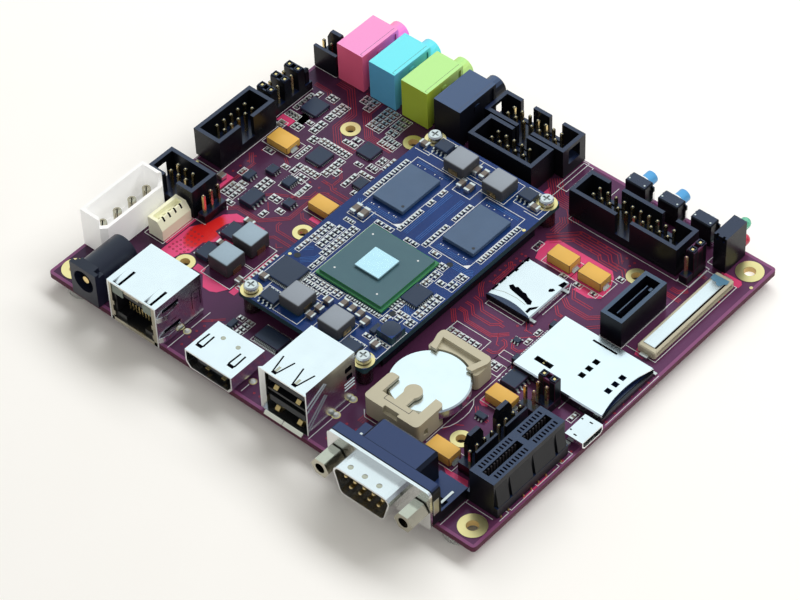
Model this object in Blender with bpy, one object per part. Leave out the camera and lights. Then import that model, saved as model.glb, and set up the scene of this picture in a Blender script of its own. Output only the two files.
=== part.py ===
"""Computer baseboard with a processor module, edge jacks, pin headers and three push switches.

Metres, +Z up. The origin is on the underside of the baseboard, at its centre. The jacks for the
user face -Y, and the audio jacks and the push switches face +Y. Places on the board are counted
from its front-left corner in columns (along X) and rows (along Y) of the placement grid.
"""

import math

import bmesh
import bpy
from mathutils import Matrix, Vector

MM = 0.001

# Baseboard
BOARD_LENGTH = 135.5 * MM
BOARD_WIDTH = 113.0 * MM
BOARD_THICKNESS = 1.6 * MM
BOARD_CORNER = 1.0 * MM
GRID_COLUMNS = 135.5
GRID_ROWS = 113.0
CORNER_HOLE_INSET = (4.5 * MM, 4.9 * MM)
CORNER_HOLE_RADIUS = 1.6 * MM
SMALL_HOLE_RADIUS = 1.35 * MM
LAND_RADIUS = (3.5 * MM, 2.6 * MM)
LAND_HEIGHT = 0.1 * MM
SMALL_HOLES = ((23.3, 84.2), (38.8, 90.5), (38.8, 49.3), (23.5, 23.5), (111.0, 89.5), (112.2, 23.0))

# Gaps: a part stands SEAT above what carries it, and nested pieces keep FIT between their walls
SEAT = 0.3 * MM
FIT = 0.3 * MM
SINK = 0.4 * MM
REACH = 1.0 * MM

# Feet
FOOT_RADIUS = 4.0 * MM
FOOT_HEIGHT = 3.0 * MM
FOOT_EDGE = 0.8 * MM
FOOT_INSET = (7.7 * MM, 4.2 * MM)

# Processor module
MODULE_PLACE = (64.7, 56.4)
MODULE_SIZE = (40.6 * MM, 72.0 * MM)
MODULE_THICKNESS = 1.6 * MM
MODULE_LIFT = 5.0 * MM
MODULE_CORNER = 0.8 * MM
FIXING_INSET = 2.4 * MM
FIXING_HOLE_RADIUS = 1.5 * MM
SPACER_RADIUS = 2.1 * MM
SCREW_SHANK_RADIUS = 1.1 * MM
SCREW_HEAD_RADIUS = 1.85 * MM
SCREW_HEAD_HEIGHT = 1.5 * MM
SCREW_DOME = 0.35 * MM
SCREW_SLOT = (0.45 * MM, 2.2 * MM, 0.7 * MM)
PACKAGE_SIZE = 21.0 * MM
PACKAGE_HEIGHT = 1.4 * MM
PACKAGE_RIM = 0.7 * MM
PACKAGE_RIM_HEIGHT = 0.6 * MM
PACKAGE_OFFSET = (1.0 * MM, -9.6 * MM)
DIE_SIZE = 7.7 * MM
DIE_HEIGHT = 0.5 * MM
MEMORY_SIZE = (9.8 * MM, 14.2 * MM)
MEMORY_HEIGHT = 1.0 * MM
MEMORY_SPREAD = 22.5 * MM
MEMORY_OFFSET = 15.1 * MM
COIL_SIZE = 6.5 * MM
COIL_HEIGHT = 3.5 * MM
COIL_EDGE = 0.5 * MM
COIL_SPREAD = 12.3 * MM
COIL_INSET = 6.1 * MM
BRIDGE_WIDTH = 5.6 * MM
BRIDGE_LENGTH = 56.0 * MM
BRIDGE_INSET = 4.4 * MM
BRIDGE_GROOVE = (1.2 * MM, 0.8 * MM)

# Network jack
NET_PLACE = 30.8
NET_SIZE = (16.0 * MM, 15.3 * MM, 13.1 * MM)
NET_OVERHANG = 1.2 * MM
NET_WALL = 0.45 * MM
NET_MOUTH = (11.8 * MM, 11.0 * MM, 6.9 * MM)
NET_MOUTH_RISE = 3.0 * MM
NET_LATCH = (6.2 * MM, 1.5 * MM)
NET_FACE_RECESS = 0.6 * MM
NET_TAB = (2.4 * MM, 6.0 * MM)
NET_TAB_SPREAD = 10.4 * MM

# DC power jack
DC_PLACE = 14.05
DC_SIZE = (8.7 * MM, 14.2 * MM, 10.6 * MM)
DC_OVERHANG = 1.0 * MM
DC_FACE = 2.9 * MM
DC_BORE_RADIUS = 3.2 * MM
DC_BORE_DEPTH = 9.5 * MM
DC_PIN_RADIUS = 1.0 * MM
DC_PIN_LENGTH = 8.4 * MM
DC_NOTCH = (1.6 * MM, 1.7 * MM, 1.2 * MM)

# Video jack
VIDEO_PLACE = 55.0
VIDEO_SIZE = (15.0 * MM, 11.6 * MM, 5.7 * MM)
VIDEO_OVERHANG = 1.0 * MM
VIDEO_WALL = 0.4 * MM
VIDEO_TAPER = (1.3 * MM, 1.7 * MM)
VIDEO_BLOCK = 3.0 * MM
VIDEO_TONGUE = (9.6 * MM, 1.2 * MM)
VIDEO_TONGUE_RECESS = 1.3 * MM

# Double USB jack
USB_PLACE = 77.7
USB_SIZE = (13.3 * MM, 17.1 * MM, 14.1 * MM)
USB_INSET = 1.0 * MM
USB_WALL = 0.4 * MM
USB_FLARE = 0.8 * MM
USB_SILL = (0.9 * MM, 0.6 * MM, 0.5 * MM)
USB_TONGUE = (11.1 * MM, 8.6 * MM, 1.9 * MM)
USB_PORT_PITCH = 7.0 * MM
USB_TONGUE_RISE = 5.1 * MM
USB_DIVIDER = 0.7 * MM
USB_BLOCK = 7.0 * MM

# Nine-pin D connector
D_PLACE = 109.5
D_FACE = (30.8 * MM, 0.8 * MM, 12.3 * MM)
D_FACE_CORNER = 1.2 * MM
D_OVERHANG = 2.4 * MM
D_AXIS_RISE = 6.1 * MM
D_SHROUD = (16.9 * MM, 8.4 * MM)
D_SHROUD_LENGTH = 5.8 * MM
D_SHROUD_CORNER = 1.9 * MM
D_SLANT = 0.176
D_WALL = 0.5 * MM
D_FLANGE_DEPTH = 2.6 * MM
D_BODY = (17.0 * MM, 8.0 * MM, 11.8 * MM)
D_BODY_EDGE = 0.8 * MM
D_SKIRT = (9.2 * MM, 3.4 * MM)
D_SKIRT_WELL = (3.4 * MM, 2.6 * MM, 1.6 * MM)
D_PIN_PITCH = 2.77 * MM
D_ROW_PITCH = 2.84 * MM
D_PIN_RADIUS = 0.5 * MM
D_PIN_REACH = 4.9 * MM
D_INSULATOR = 1.4 * MM
JACKSCREW_SPREAD = 25.0 * MM
JACKSCREW_RADIUS = 2.75 * MM
JACKSCREW_LENGTH = 5.6 * MM
JACKSCREW_BORE = (1.4 * MM, 4.0 * MM)
JACKSCREW_SHANK = 1.2 * MM

# Disk-drive power header
DISK_PLACE = (4.1, 23.2)
DISK_SIZE = (7.8 * MM, 21.8 * MM, 11.9 * MM)
DISK_WALL = 0.9 * MM
DISK_FLOOR = 3.0 * MM
DISK_CHAMFER = 1.4 * MM
DISK_PIN_PITCH = 5.08 * MM
DISK_PIN_RADIUS = 1.05 * MM
DISK_PIN_TOP = 7.4 * MM

# Cream four-slot header
CREAM_PLACE = (12.3, 30.1)
CREAM_SIZE = (4.8 * MM, 10.0 * MM, 5.7 * MM)
CREAM_SLOPE = (1.5 * MM, 2.4 * MM)
CREAM_CHANNEL = (-1.5 * MM, 0.5 * MM, 1.4 * MM)
CREAM_END = 0.9 * MM
CREAM_SLOT = (0.9 * MM, 1.0 * MM, 3.6 * MM)
CREAM_SLOTS = 4
CREAM_SLOT_PITCH = 2.0 * MM

# Pin headers
PITCH = 2.54 * MM
PIN_SIDE = 0.64 * MM
BOX_END = 5.08 * MM
BOX_DEPTH = 8.8 * MM
BOX_HEIGHT = 8.8 * MM
BOX_WALL = 1.1 * MM
BOX_FLOOR = 2.2 * MM
BOX_PIN_TOP = 8.1 * MM
BOX_NOTCH = 4.5 * MM
BOX_NOTCH_FLOOR = 2.6 * MM
BOX_GAP = 0.5 * MM
BOX_SLOT = 4.0 * MM
BOX_WINDOW = (4.4 * MM, 4.6 * MM)
BOX_SMALL_PLACE = (7.4, 40.1)
BOX_LEFT_PLACE = (3.8, 62.9)
BOX_BACK_PLACE = (63.4, 99.4)
BOX_LONG_PLACE = (101.8, 99.7)
STRIP_BASE = (2.4 * MM, 2.5 * MM)
STRIP_PIN_TOP = 8.2 * MM

# Friction-lock headers
LOCK_BASE = (5.4 * MM, 3.0 * MM)
LOCK_WALL = (1.1 * MM, 5.6 * MM, 9.6 * MM)
LOCK_PIN_TOP = 7.6 * MM
LOCK_PINS = 4
LOCK_PAIR_PLACE = (120.6, 25.3)
LOCK_BACK_PLACE = (4.0, 98.9)
LOCK_BACK_PINS = 3
LOCK_BACK_FENCE = (0.9 * MM, 6.9 * MM)

# Jumper header with its shunts
JUMPER_PLACE = (3.3, 81.7)
JUMPER_ROWS = 6
SHUNT_SIZE = (4.9 * MM, 2.3 * MM, 6.2 * MM)
SHUNT_SLOT = (1.5 * MM, 1.0 * MM)
SHUNTED_ROWS = (0, 2, 4)
END_CAP = (2.4 * MM, 1.6 * MM, 4.4 * MM, 0.6 * MM)

# Audio jacks
AUDIO_FIRST = 12.7
AUDIO_PITCH = 10.83 * MM
AUDIO_SIZE = (8.6 * MM, 13.9 * MM, 12.0 * MM)
AUDIO_SETBACK = 2.7 * MM
AUDIO_AXIS_RISE = 5.2 * MM
AUDIO_NOSE_RADIUS = 3.0 * MM
AUDIO_NOSE_LENGTH = 5.5 * MM
AUDIO_BORE_RADIUS = 1.8 * MM
AUDIO_BORE_DEPTH = 13.0 * MM
AUDIO_PANEL = (0.35 * MM, 0.9 * MM)
AUDIO_BOSS_RADIUS = 1.2 * MM

# Push switches
SWITCH_FIRST = 95.3
SWITCH_PITCH = 10.1 * MM
SWITCH_SIZE = (6.2 * MM, 3.6 * MM, 6.7 * MM)
SWITCH_SETBACK = 1.0 * MM
SWITCH_AXIS_RISE = 4.1 * MM
SWITCH_BRACKET = (7.4 * MM, 0.4 * MM, 5.6 * MM)
BUTTON_RADIUS = 1.75 * MM
BUTTON_DEPTH = 1.8 * MM
BUTTON_REACH = (3.5 * MM, 3.5 * MM, 0.8 * MM)
BUTTON_TRAVEL = 0.3 * MM
BUTTON_CLEARANCE = 0.08 * MM

# Light holder
LIGHT_PLACE = 125.0
LIGHT_SIZE = (3.8 * MM, 8.0 * MM, 11.4 * MM)
LIGHT_SETBACK = 1.4 * MM
LIGHT_RISE = (3.0 * MM, 8.6 * MM)
LIGHT_RADIUS = 1.5 * MM
LIGHT_REACH = 1.8 * MM
LIGHT_DEPTH = 3.0 * MM
LIGHT_NOTCH = (0.7 * MM, 1.2 * MM, 1.6 * MM)

# Disk data header
DATA_PLACE = (119.6, 77.3)
DATA_SIZE = (6.4 * MM, 17.2 * MM, 8.2 * MM)
DATA_SLOT = (2.4 * MM, 11.6 * MM, 6.4 * MM)
DATA_KEY = 2.6 * MM
DATA_WALL = 1.1 * MM

# Flat display connector
DISPLAY_PLACE = (128.7, 86.0)
DISPLAY_SIZE = (5.2 * MM, 30.9 * MM, 2.1 * MM)
DISPLAY_SLOT = (1.0 * MM, 0.9 * MM)

# Card holders
SIM_PLACE = (120.9, 56.8)
SIM_SIZE = (26.8 * MM, 19.7 * MM, 2.6 * MM)
SIM_WALL = 0.35 * MM
SIM_BAY = 0.9 * MM
SIM_WINDOW = (1.6 * MM, 1.5 * MM)
SIM_WINDOW_PITCH = 2.65 * MM
SIM_WINDOW_ROWS = (1.8 * MM, 9.6 * MM)
SIM_LONG_WINDOW = (5.0 * MM, 1.5 * MM)
SIM_LONG_PLACE = (-7.6 * MM, -5.2 * MM)
SIM_SPRING = (7.2 * MM, 0.6 * MM)
SIM_SPRING_PLACE = (0.4 * MM, 7.7 * MM)
SIM_MOUTH_DIP = 1.5 * MM
CARD_PLACE = (94.5, 68.6)
CARD_SIZE = (13.2 * MM, 15.6 * MM, 1.7 * MM)
CARD_WALL = 0.3 * MM
MICRO_ROW = 41.6
MICRO_SIZE = (5.2 * MM, 7.5 * MM, 2.4 * MM)
MICRO_OVERHANG = 0.5 * MM
MICRO_WALL = 0.35 * MM
MICRO_TAPER = 0.8 * MM

# Coin cell and its holder
CELL_PLACE = (97.9, 28.5)
CELL_RADIUS = 10.0 * MM
CELL_HEIGHT = 3.2 * MM
CELL_STEP = 0.35 * MM
HOLDER_HEIGHT = 6.1 * MM
HOLDER_FLOOR = 1.4 * MM
HOLDER_SPINE = (12.4 * MM, 27.0 * MM)
HOLDER_CORNER = 1.2 * MM
HOLDER_FRONT = (16.4 * MM, 9.8 * MM, -9.0 * MM)
HOLDER_BACK = (15.2 * MM, 6.2 * MM, 10.9 * MM)
HOLDER_FINGER = 2.6 * MM
HOLDER_WALL = 3.8 * MM
HOLDER_STEM = 3.3 * MM
HOLDER_HEAD = (2.25 * MM, -5.6 * MM)
HOLDER_NOTCH = (4.4 * MM, 0.9 * MM, 1.8 * MM)
HOLDER_BRIDGE = 2.2 * MM
HOLDER_ARM = 1.7 * MM
HOLDER_ARM_LEAN = 1.6 * MM
HOLDER_POCKET = (1.4 * MM, 1.8 * MM, 0.8 * MM)

# Edge-card slot
CARD_SLOT_PLACE = (129.5, 22.5)
CARD_SLOT_SIZE = (7.2 * MM, 25.1 * MM, 10.7 * MM)
CARD_SLOT_OPENING = (2.0 * MM, 7.0 * MM)
CARD_SLOT_BAYS = (12.2 * MM, 8.6 * MM)
CARD_SLOT_KEY = 1.6 * MM
CARD_SLOT_BASE = (1.0 * MM, 3.0 * MM)
CARD_SLOT_WEDGE = (1.0 * MM, 9.2 * MM)
CARD_SLOT_GAP = 0.9 * MM
CARD_SLOT_GAPS = (-7.6 * MM, 0.6 * MM, 8.6 * MM)

# Small parts soldered on the baseboard: column, row, size along X, size along Y, height
BOARD_CHIPS = (
    (11.2, 84.2, 5.3, 5.5, 0.9),
    (24.3, 71.5, 5.0, 5.4, 0.9),
    (32.6, 80.9, 4.8, 4.7, 0.9),
    (38.7, 70.8, 3.0, 3.5, 0.9),
    (21.5, 49.7, 4.0, 5.3, 1.5),
    (25.9, 38.1, 3.9, 4.9, 1.5),
    (25.9, 29.2, 3.9, 4.9, 1.5),
    (57.6, 18.0, 7.6, 4.6, 1.1),
    (110.3, 44.4, 4.4, 5.0, 1.5),
    (18.5, 60.5, 2.6, 2.8, 1.1),
    (29.8, 54.3, 2.5, 2.5, 1.1),
)
BOARD_TANTALUMS = (
    (94.6, 81.9, 7.0, 4.3, 2.8),
    (104.1, 81.9, 7.0, 4.3, 2.8),
    (13.8, 69.5, 7.0, 4.9, 2.1),
    (37.7, 58.3, 6.9, 4.2, 2.4),
    (112.2, 37.7, 7.0, 4.2, 2.8),
    (112.1, 16.8, 7.2, 4.2, 2.8),
)
BOARD_COILS = ((32.3, 37.8), (32.3, 29.2))
BOARD_COIL_HEIGHT = 4.4 * MM

# Short pin headers on the baseboard: column, row, pins, lines, shunted pins, turn in degrees
BOARD_STRIPS = (
    (17.2, 40.0, 3, 1, (), 90),
    (120.9, 95.9, 1, 1, (), 0),
    (120.9, 99.8, 1, 2, (0,), 0),
    (120.5, 43.6, 2, 2, (1,), 90),
    (119.0, 39.5, 2, 1, (), 0),
)

# Small parts on the module, from its centre: X, Y, size along X, size along Y, height
MODULE_CHIPS = (
    (-13.6, 32.2, 3.9, 3.4, 1.5),
    (13.3, 32.2, 3.9, 3.4, 1.5),
    (-14.7, -24.3, 7.6, 7.6, 1.1),
    (14.3, -10.4, 5.0, 6.2, 0.9),
    (17.6, -23.5, 4.8, 4.8, 2.2),
    (-12.0, -32.8, 4.6, 3.6, 1.3),
    (13.2, -32.8, 4.6, 3.6, 1.3),
)

# Looks: colour, roughness, metallic
LOOKS = {
    "maroon_mask": ((0.09, 0.02, 0.05), 0.35, 0.0),
    "blue_mask": ((0.02, 0.05, 0.22), 0.35, 0.0),
    "black_plastic": ((0.015, 0.016, 0.02), 0.45, 0.0),
    "nickel": ((0.62, 0.61, 0.58), 0.3, 1.0),
    "gold": ((0.8, 0.58, 0.25), 0.3, 1.0),
    "silicon": ((0.6, 0.66, 0.7), 0.2, 0.8),
    "package_teal": ((0.08, 0.14, 0.15), 0.4, 0.0),
    "memory_black": ((0.05, 0.06, 0.08), 0.4, 0.0),
    "white_plastic": ((0.8, 0.8, 0.78), 0.45, 0.0),
    "cream_plastic": ((0.72, 0.68, 0.5), 0.5, 0.0),
    "holder_cream": ((0.56, 0.5, 0.36), 0.5, 0.0),
    "audio_pink": ((0.8, 0.25, 0.42), 0.45, 0.0),
    "audio_blue": ((0.16, 0.55, 0.7), 0.45, 0.0),
    "audio_green": ((0.45, 0.7, 0.22), 0.45, 0.0),
    "button_blue": ((0.04, 0.35, 0.75), 0.4, 0.0),
    "lens_green": ((0.2, 0.7, 0.45), 0.2, 0.0),
    "lens_red": ((0.7, 0.05, 0.08), 0.2, 0.0),
    "slot_slate": ((0.07, 0.09, 0.13), 0.5, 0.0),
    "clear_rubber": ((0.75, 0.77, 0.74), 0.3, 0.0),
}

ROUND = 24
SMALL_ROUND = 12
BOARD_TOP = BOARD_THICKNESS + SEAT
MODULE_UNDERSIDE = BOARD_THICKNESS + MODULE_LIFT
MODULE_TOP = MODULE_UNDERSIDE + MODULE_THICKNESS


def clear_scene():
    for old in list(bpy.data.objects):
        bpy.data.objects.remove(old)


def column(count):
    """X of a placement column, counted from the left edge."""
    return count * BOARD_LENGTH / GRID_COLUMNS - BOARD_LENGTH / 2


def row(count):
    """Y of a placement row, counted from the front edge."""
    return count * BOARD_WIDTH / GRID_ROWS - BOARD_WIDTH / 2


def on_board(columns, rows):
    return Vector((column(columns), row(rows), BOARD_TOP))


# Shapes: each returns a closed bmesh in the part's own coordinates


def block(x, y, z):
    """A box; each of x, y and z is a (low, high) pair."""
    shape = bmesh.new()
    spans = (x, y, z)
    middle = Matrix.Translation([(low + high) / 2 for low, high in spans])
    size = Matrix.Diagonal([high - low for low, high in spans] + [1])
    bmesh.ops.create_cube(shape, size=1, matrix=middle @ size)
    return shape


def centred(width, depth, low, high, x=0, y=0):
    """A box centred on (x, y) that stands from low to high."""
    return block((x - width / 2, x + width / 2), (y - depth / 2, y + depth / 2), (low, high))


def prism(outline, low, high, axis="Z"):
    """A flat outline pushed out along an axis; the outline runs anticlockwise seen from +axis."""
    place = {
        "Z": lambda u, v, w: (u, v, w),
        "X": lambda u, v, w: (w, u, v),
        "Y": lambda u, v, w: (v, w, u),
    }[axis]
    shape = bmesh.new()
    corners = [shape.verts.new(place(u, v, low)) for u, v in outline]
    base = shape.faces.new(corners)
    pushed = bmesh.ops.extrude_face_region(shape, geom=[base])
    moved = [item for item in pushed["geom"] if isinstance(item, bmesh.types.BMVert)]
    bmesh.ops.translate(shape, verts=moved, vec=Vector(place(0, 0, high - low)))
    bmesh.ops.recalc_face_normals(shape, faces=shape.faces[:])
    return shape


def rod(radius, low, high, axis="Z", at=(0, 0), sides=ROUND):
    """A round bar along an axis; `at` is its place in the other two directions."""
    step = 2 * math.pi / sides
    ring = [
        (at[0] + radius * math.cos(step * (turn + 0.5)), at[1] + radius * math.sin(step * (turn + 0.5)))
        for turn in range(sides)
    ]
    return prism(ring, low, high, axis)


def turned(profile, sides=ROUND):
    """A closed profile of (radius, height) points, from axis to axis, turned about Z."""
    shape = bmesh.new()
    points = [shape.verts.new((radius, 0, height)) for radius, height in profile]
    edges = [shape.edges.new(pair) for pair in zip(points, points[1:])]
    bmesh.ops.spin(
        shape, geom=points + edges, axis=(0, 0, 1), cent=(0, 0, 0), angle=2 * math.pi, steps=sides, use_merge=True
    )
    bmesh.ops.remove_doubles(shape, verts=shape.verts[:], dist=0.001 * MM)
    bmesh.ops.recalc_face_normals(shape, faces=shape.faces[:])
    return shape


def rounded(width, depth, corner, steps=4):
    """The outline of a rectangle with round corners."""
    points = []
    for quarter, (sx, sy) in enumerate(((1, 1), (-1, 1), (-1, -1), (1, -1))):
        for step in range(steps + 1):
            angle = math.pi / 2 * (quarter + step / steps)
            x = sx * (width / 2 - corner) + corner * math.cos(angle)
            y = sy * (depth / 2 - corner) + corner * math.sin(angle)
            points.append((x, y))
    return points


def together(shapes):
    """Several separate shapes in one bmesh."""
    joined = bmesh.new()
    for shape in shapes:
        mesh = bpy.data.meshes.new("shape")
        shape.to_mesh(mesh)
        shape.free()
        joined.from_mesh(mesh)
        bpy.data.meshes.remove(mesh)
    return joined


def moved(shape, x=0, y=0, z=0, turn=0):
    """The shape turned about Z and then moved."""
    place = Matrix.Translation((x, y, z)) @ Matrix.Rotation(turn, 4, "Z")
    bmesh.ops.transform(shape, matrix=place, verts=shape.verts[:])
    return shape


def softened(shape, width):
    """The shape with its upright edges and top edges chamfered."""
    low = min(vert.co.z for vert in shape.verts)
    edges = [edge for edge in shape.edges if max(vert.co.z for vert in edge.verts) > low]
    bmesh.ops.bevel(
        shape, geom=edges, offset=width, segments=1, affect="EDGES", profile=0.5, material=-1
    )
    return shape


# Objects


def look(name):
    material = bpy.data.materials.get(name)
    if material is None:
        colour, roughness, metallic = LOOKS[name]
        material = bpy.data.materials.new(name)
        material.use_nodes = True
        shader = material.node_tree.nodes["Principled BSDF"]
        shader.inputs["Base Color"].default_value = (*colour, 1)
        shader.inputs["Roughness"].default_value = roughness
        shader.inputs["Metallic"].default_value = metallic
        material.diffuse_color = (*colour, 1)
    return material


def mesh_object(name, shape, place, turn):
    mesh = bpy.data.meshes.new(name)
    shape.to_mesh(mesh)
    shape.free()
    made = bpy.data.objects.new(name, mesh)
    made.location = place
    made.rotation_euler.z = turn
    bpy.context.scene.collection.objects.link(made)
    return made


def join(*shapes):
    return "UNION", together(shapes)


def cut(*shapes):
    return "DIFFERENCE", together(shapes)


def model(name, finish, place, body, *steps, turn=0):
    """One solid: its body, then the joins and cuts in order, each a live Boolean."""
    made = mesh_object(name, body, place, turn)
    for number, (operation, shape) in enumerate(steps, start=1):
        helper = mesh_object(f"{name}.step_{number}", shape, place, turn)
        helper.hide_render = True
        helper.display_type = "WIRE"
        modifier = made.modifiers.new(helper.name, "BOOLEAN")
        modifier.operation = operation
        modifier.object = helper
    made.data.materials.append(look(finish))
    made.data.shade_smooth()
    made.data.set_sharp_from_angle(angle=math.radians(35))
    return made


# Boards


def board_point(columns, rows):
    return column(columns), row(rows)


def soldered(x, y, width, depth, height, top):
    """A small part sunk a little into the board that carries it."""
    return centred(width, depth, top - SINK, top + height, x, y)


def baseboard():
    plate = prism(rounded(BOARD_LENGTH, BOARD_WIDTH, BOARD_CORNER), 0, BOARD_THICKNESS)
    corner_x = BOARD_LENGTH / 2 - CORNER_HOLE_INSET[0]
    corner_y = BOARD_WIDTH / 2 - CORNER_HOLE_INSET[1]
    places = [
        ((sx * corner_x, sy * corner_y), CORNER_HOLE_RADIUS, LAND_RADIUS[0], ROUND)
        for sx in (-1, 1)
        for sy in (-1, 1)
    ]
    places += [
        (board_point(*place), SMALL_HOLE_RADIUS, LAND_RADIUS[1], SMALL_ROUND) for place in SMALL_HOLES
    ]
    lands = []
    holes = []
    for at, radius, land, sides in places:
        lands.append(rod(land, BOARD_THICKNESS - SINK, BOARD_THICKNESS + LAND_HEIGHT, at=at, sides=sides))
        holes.append(rod(radius, -REACH, BOARD_THICKNESS + REACH, at=at, sides=sides))
    parts = []
    for columns, rows, width, depth, height in BOARD_CHIPS + BOARD_TANTALUMS:
        x, y = board_point(columns, rows)
        parts.append(soldered(x, y, width * MM, depth * MM, height * MM, BOARD_THICKNESS))
    for place in BOARD_COILS:
        coil = soldered(0, 0, COIL_SIZE, COIL_SIZE, BOARD_COIL_HEIGHT, BOARD_THICKNESS)
        x, y = board_point(*place)
        parts.append(moved(softened(coil, COIL_EDGE), x, y))
    model(
        "baseboard_pcb",
        "maroon_mask",
        (0, 0, 0),
        plate,
        join(*lands),
        cut(*holes),
        join(*parts),
        *board_strips(),
    )


def strip_shapes(pins, rows=1, shunted=(), low=0.0, bare=0):
    """Base, pins, shunts and shunt slots of a header along X; the last `bare` rows have no pins."""
    width = (pins - 1) * PITCH + STRIP_BASE[0]
    depth = (rows - 1) * PITCH + STRIP_BASE[0]
    base = centred(width, depth, low, STRIP_BASE[1])
    posts = []
    caps = []
    slots = []
    for pin in range(pins - bare):
        x = (pin - (pins - 1) / 2) * PITCH
        if pin in shunted:
            high = STRIP_BASE[1] + SHUNT_SIZE[2]
            caps.append(centred(SHUNT_SIZE[1], SHUNT_SIZE[0], STRIP_BASE[1] - SINK, high, x))
            slots.append(
                centred(SHUNT_SLOT[0], SHUNT_SIZE[0] / 3, high - SHUNT_SLOT[1], high + REACH, x)
            )
            continue
        for line in range(rows):
            y = (line - (rows - 1) / 2) * PITCH
            posts.append(centred(PIN_SIDE, PIN_SIDE, STRIP_BASE[1] - SINK, STRIP_PIN_TOP, x, y))
    return base, posts, caps, slots


def jumper_header():
    """Two lines of pins; shunts cap three rows, and a small round-topped cap covers one end pin."""
    base, posts, caps, slots = strip_shapes(JUMPER_ROWS, rows=2, shunted=SHUNTED_ROWS, bare=1)
    width, depth, rise, edge = END_CAP
    end = (JUMPER_ROWS - 1) / 2 * PITCH
    cap = centred(width, depth, STRIP_BASE[1] - SINK, STRIP_BASE[1] + rise, end, -PITCH / 2)
    model(
        "jumper_header",
        "black_plastic",
        on_board(*JUMPER_PLACE),
        base,
        join(*caps, softened(cap, edge)),
        cut(*slots),
        join(*posts),
        turn=math.pi / 2,
    )


def board_strips():
    """The short pin headers that are soldered through the baseboard, as its own joins and cuts."""
    bases = []
    tops = []
    notches = []
    for columns, rows, pins, lines, shunted, turn in BOARD_STRIPS:
        x, y = board_point(columns, rows)
        base, posts, caps, slots = strip_shapes(pins, lines, shunted, low=-SINK)
        for shapes, kept in (([base], bases), (posts + caps, tops), (slots, notches)):
            kept += [moved(shape, x, y, BOARD_THICKNESS, math.radians(turn)) for shape in shapes]
    return join(*bases), join(*tops), cut(*notches)


def feet():
    for number, (side_x, side_y) in enumerate(((-1, -1), (1, -1), (1, 1), (-1, 1)), start=1):
        x = side_x * (BOARD_LENGTH / 2 - FOOT_INSET[0])
        y = side_y * (BOARD_WIDTH / 2 - FOOT_INSET[1])
        profile = (
            (0, -SEAT),
            (FOOT_RADIUS, -SEAT),
            (FOOT_RADIUS, FOOT_EDGE - FOOT_HEIGHT),
            (FOOT_RADIUS - FOOT_EDGE, -FOOT_HEIGHT),
            (0, -FOOT_HEIGHT),
        )
        model(f"foot_{number}", "clear_rubber", (x, y, 0), turned(profile, sides=20))


# Processor module


def module_centre():
    return column(MODULE_PLACE[0]), row(MODULE_PLACE[1])


def fixing_places():
    half_x = MODULE_SIZE[0] / 2 - FIXING_INSET
    half_y = MODULE_SIZE[1] / 2 - FIXING_INSET
    return [(sx * half_x, sy * half_y) for sx in (-1, 1) for sy in (-1, 1)]


def module_board():
    x, y = module_centre()
    plate = prism(rounded(*MODULE_SIZE, MODULE_CORNER), 0, MODULE_THICKNESS)
    holes = [
        rod(FIXING_HOLE_RADIUS, -REACH, MODULE_THICKNESS + REACH, at=place, sides=16)
        for place in fixing_places()
    ]
    parts = [
        soldered(px * MM, py * MM, width * MM, depth * MM, height * MM, MODULE_THICKNESS)
        for px, py, width, depth, height in MODULE_CHIPS
    ]
    for side_x in (-1, 1):
        for side_y in (-1, 1):
            coil = soldered(0, 0, COIL_SIZE, COIL_SIZE, COIL_HEIGHT, MODULE_THICKNESS)
            softened(coil, COIL_EDGE)
            coil_y = side_y * (MODULE_SIZE[1] / 2 - COIL_INSET)
            parts.append(moved(coil, side_x * COIL_SPREAD / 2, coil_y))
    place = (x, y, MODULE_UNDERSIDE)
    model("module_pcb", "blue_mask", place, plate, cut(*holes), join(*parts))


def module_fixings():
    """Spacer, screw shank and pan head of one fixing are a single solid through the module's hole."""
    centre_x, centre_y = module_centre()
    foot = BOARD_THICKNESS + SEAT
    shoulder = MODULE_UNDERSIDE - SEAT
    head = MODULE_TOP + SEAT
    top = head + SCREW_HEAD_HEIGHT
    profile = (
        (0, foot),
        (SPACER_RADIUS, foot),
        (SPACER_RADIUS, shoulder),
        (SCREW_SHANK_RADIUS, shoulder),
        (SCREW_SHANK_RADIUS, head),
        (SCREW_HEAD_RADIUS, head),
        (SCREW_HEAD_RADIUS, top - SCREW_DOME),
        (SCREW_HEAD_RADIUS - SCREW_DOME, top),
        (0, top),
    )
    for number, (x, y) in enumerate(fixing_places(), start=1):
        width, length, depth = SCREW_SLOT
        cross = (
            centred(length, width, top - depth, top + REACH),
            centred(width, length, top - depth, top + REACH),
        )
        model(
            f"module_fixing_{number}",
            "nickel",
            (centre_x + x, centre_y + y, 0),
            turned(profile, sides=20),
            cut(cross[0]),
            cut(cross[1]),
        )


def module_bridges():
    """The board-to-board connectors that carry the module's signals."""
    centre_x, centre_y = module_centre()
    height = MODULE_LIFT - 2 * SEAT
    for side, label in ((-1, "left"), (1, "right")):
        x = centre_x + side * (MODULE_SIZE[0] / 2 - BRIDGE_INSET)
        body = centred(BRIDGE_WIDTH, BRIDGE_LENGTH, 0, height)
        depth, rise = BRIDGE_GROOVE
        middle = height / 2
        groove = [
            block(
                sorted((face * (BRIDGE_WIDTH / 2 - depth), face * (BRIDGE_WIDTH / 2 + REACH))),
                (-BRIDGE_LENGTH / 2 + depth, BRIDGE_LENGTH / 2 - depth),
                (middle - rise / 2, middle + rise / 2),
            )
            for face in (-1, 1)
        ]
        model(f"module_bridge_{label}", "black_plastic", (x, centre_y, BOARD_TOP), body, cut(*groove))


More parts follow.
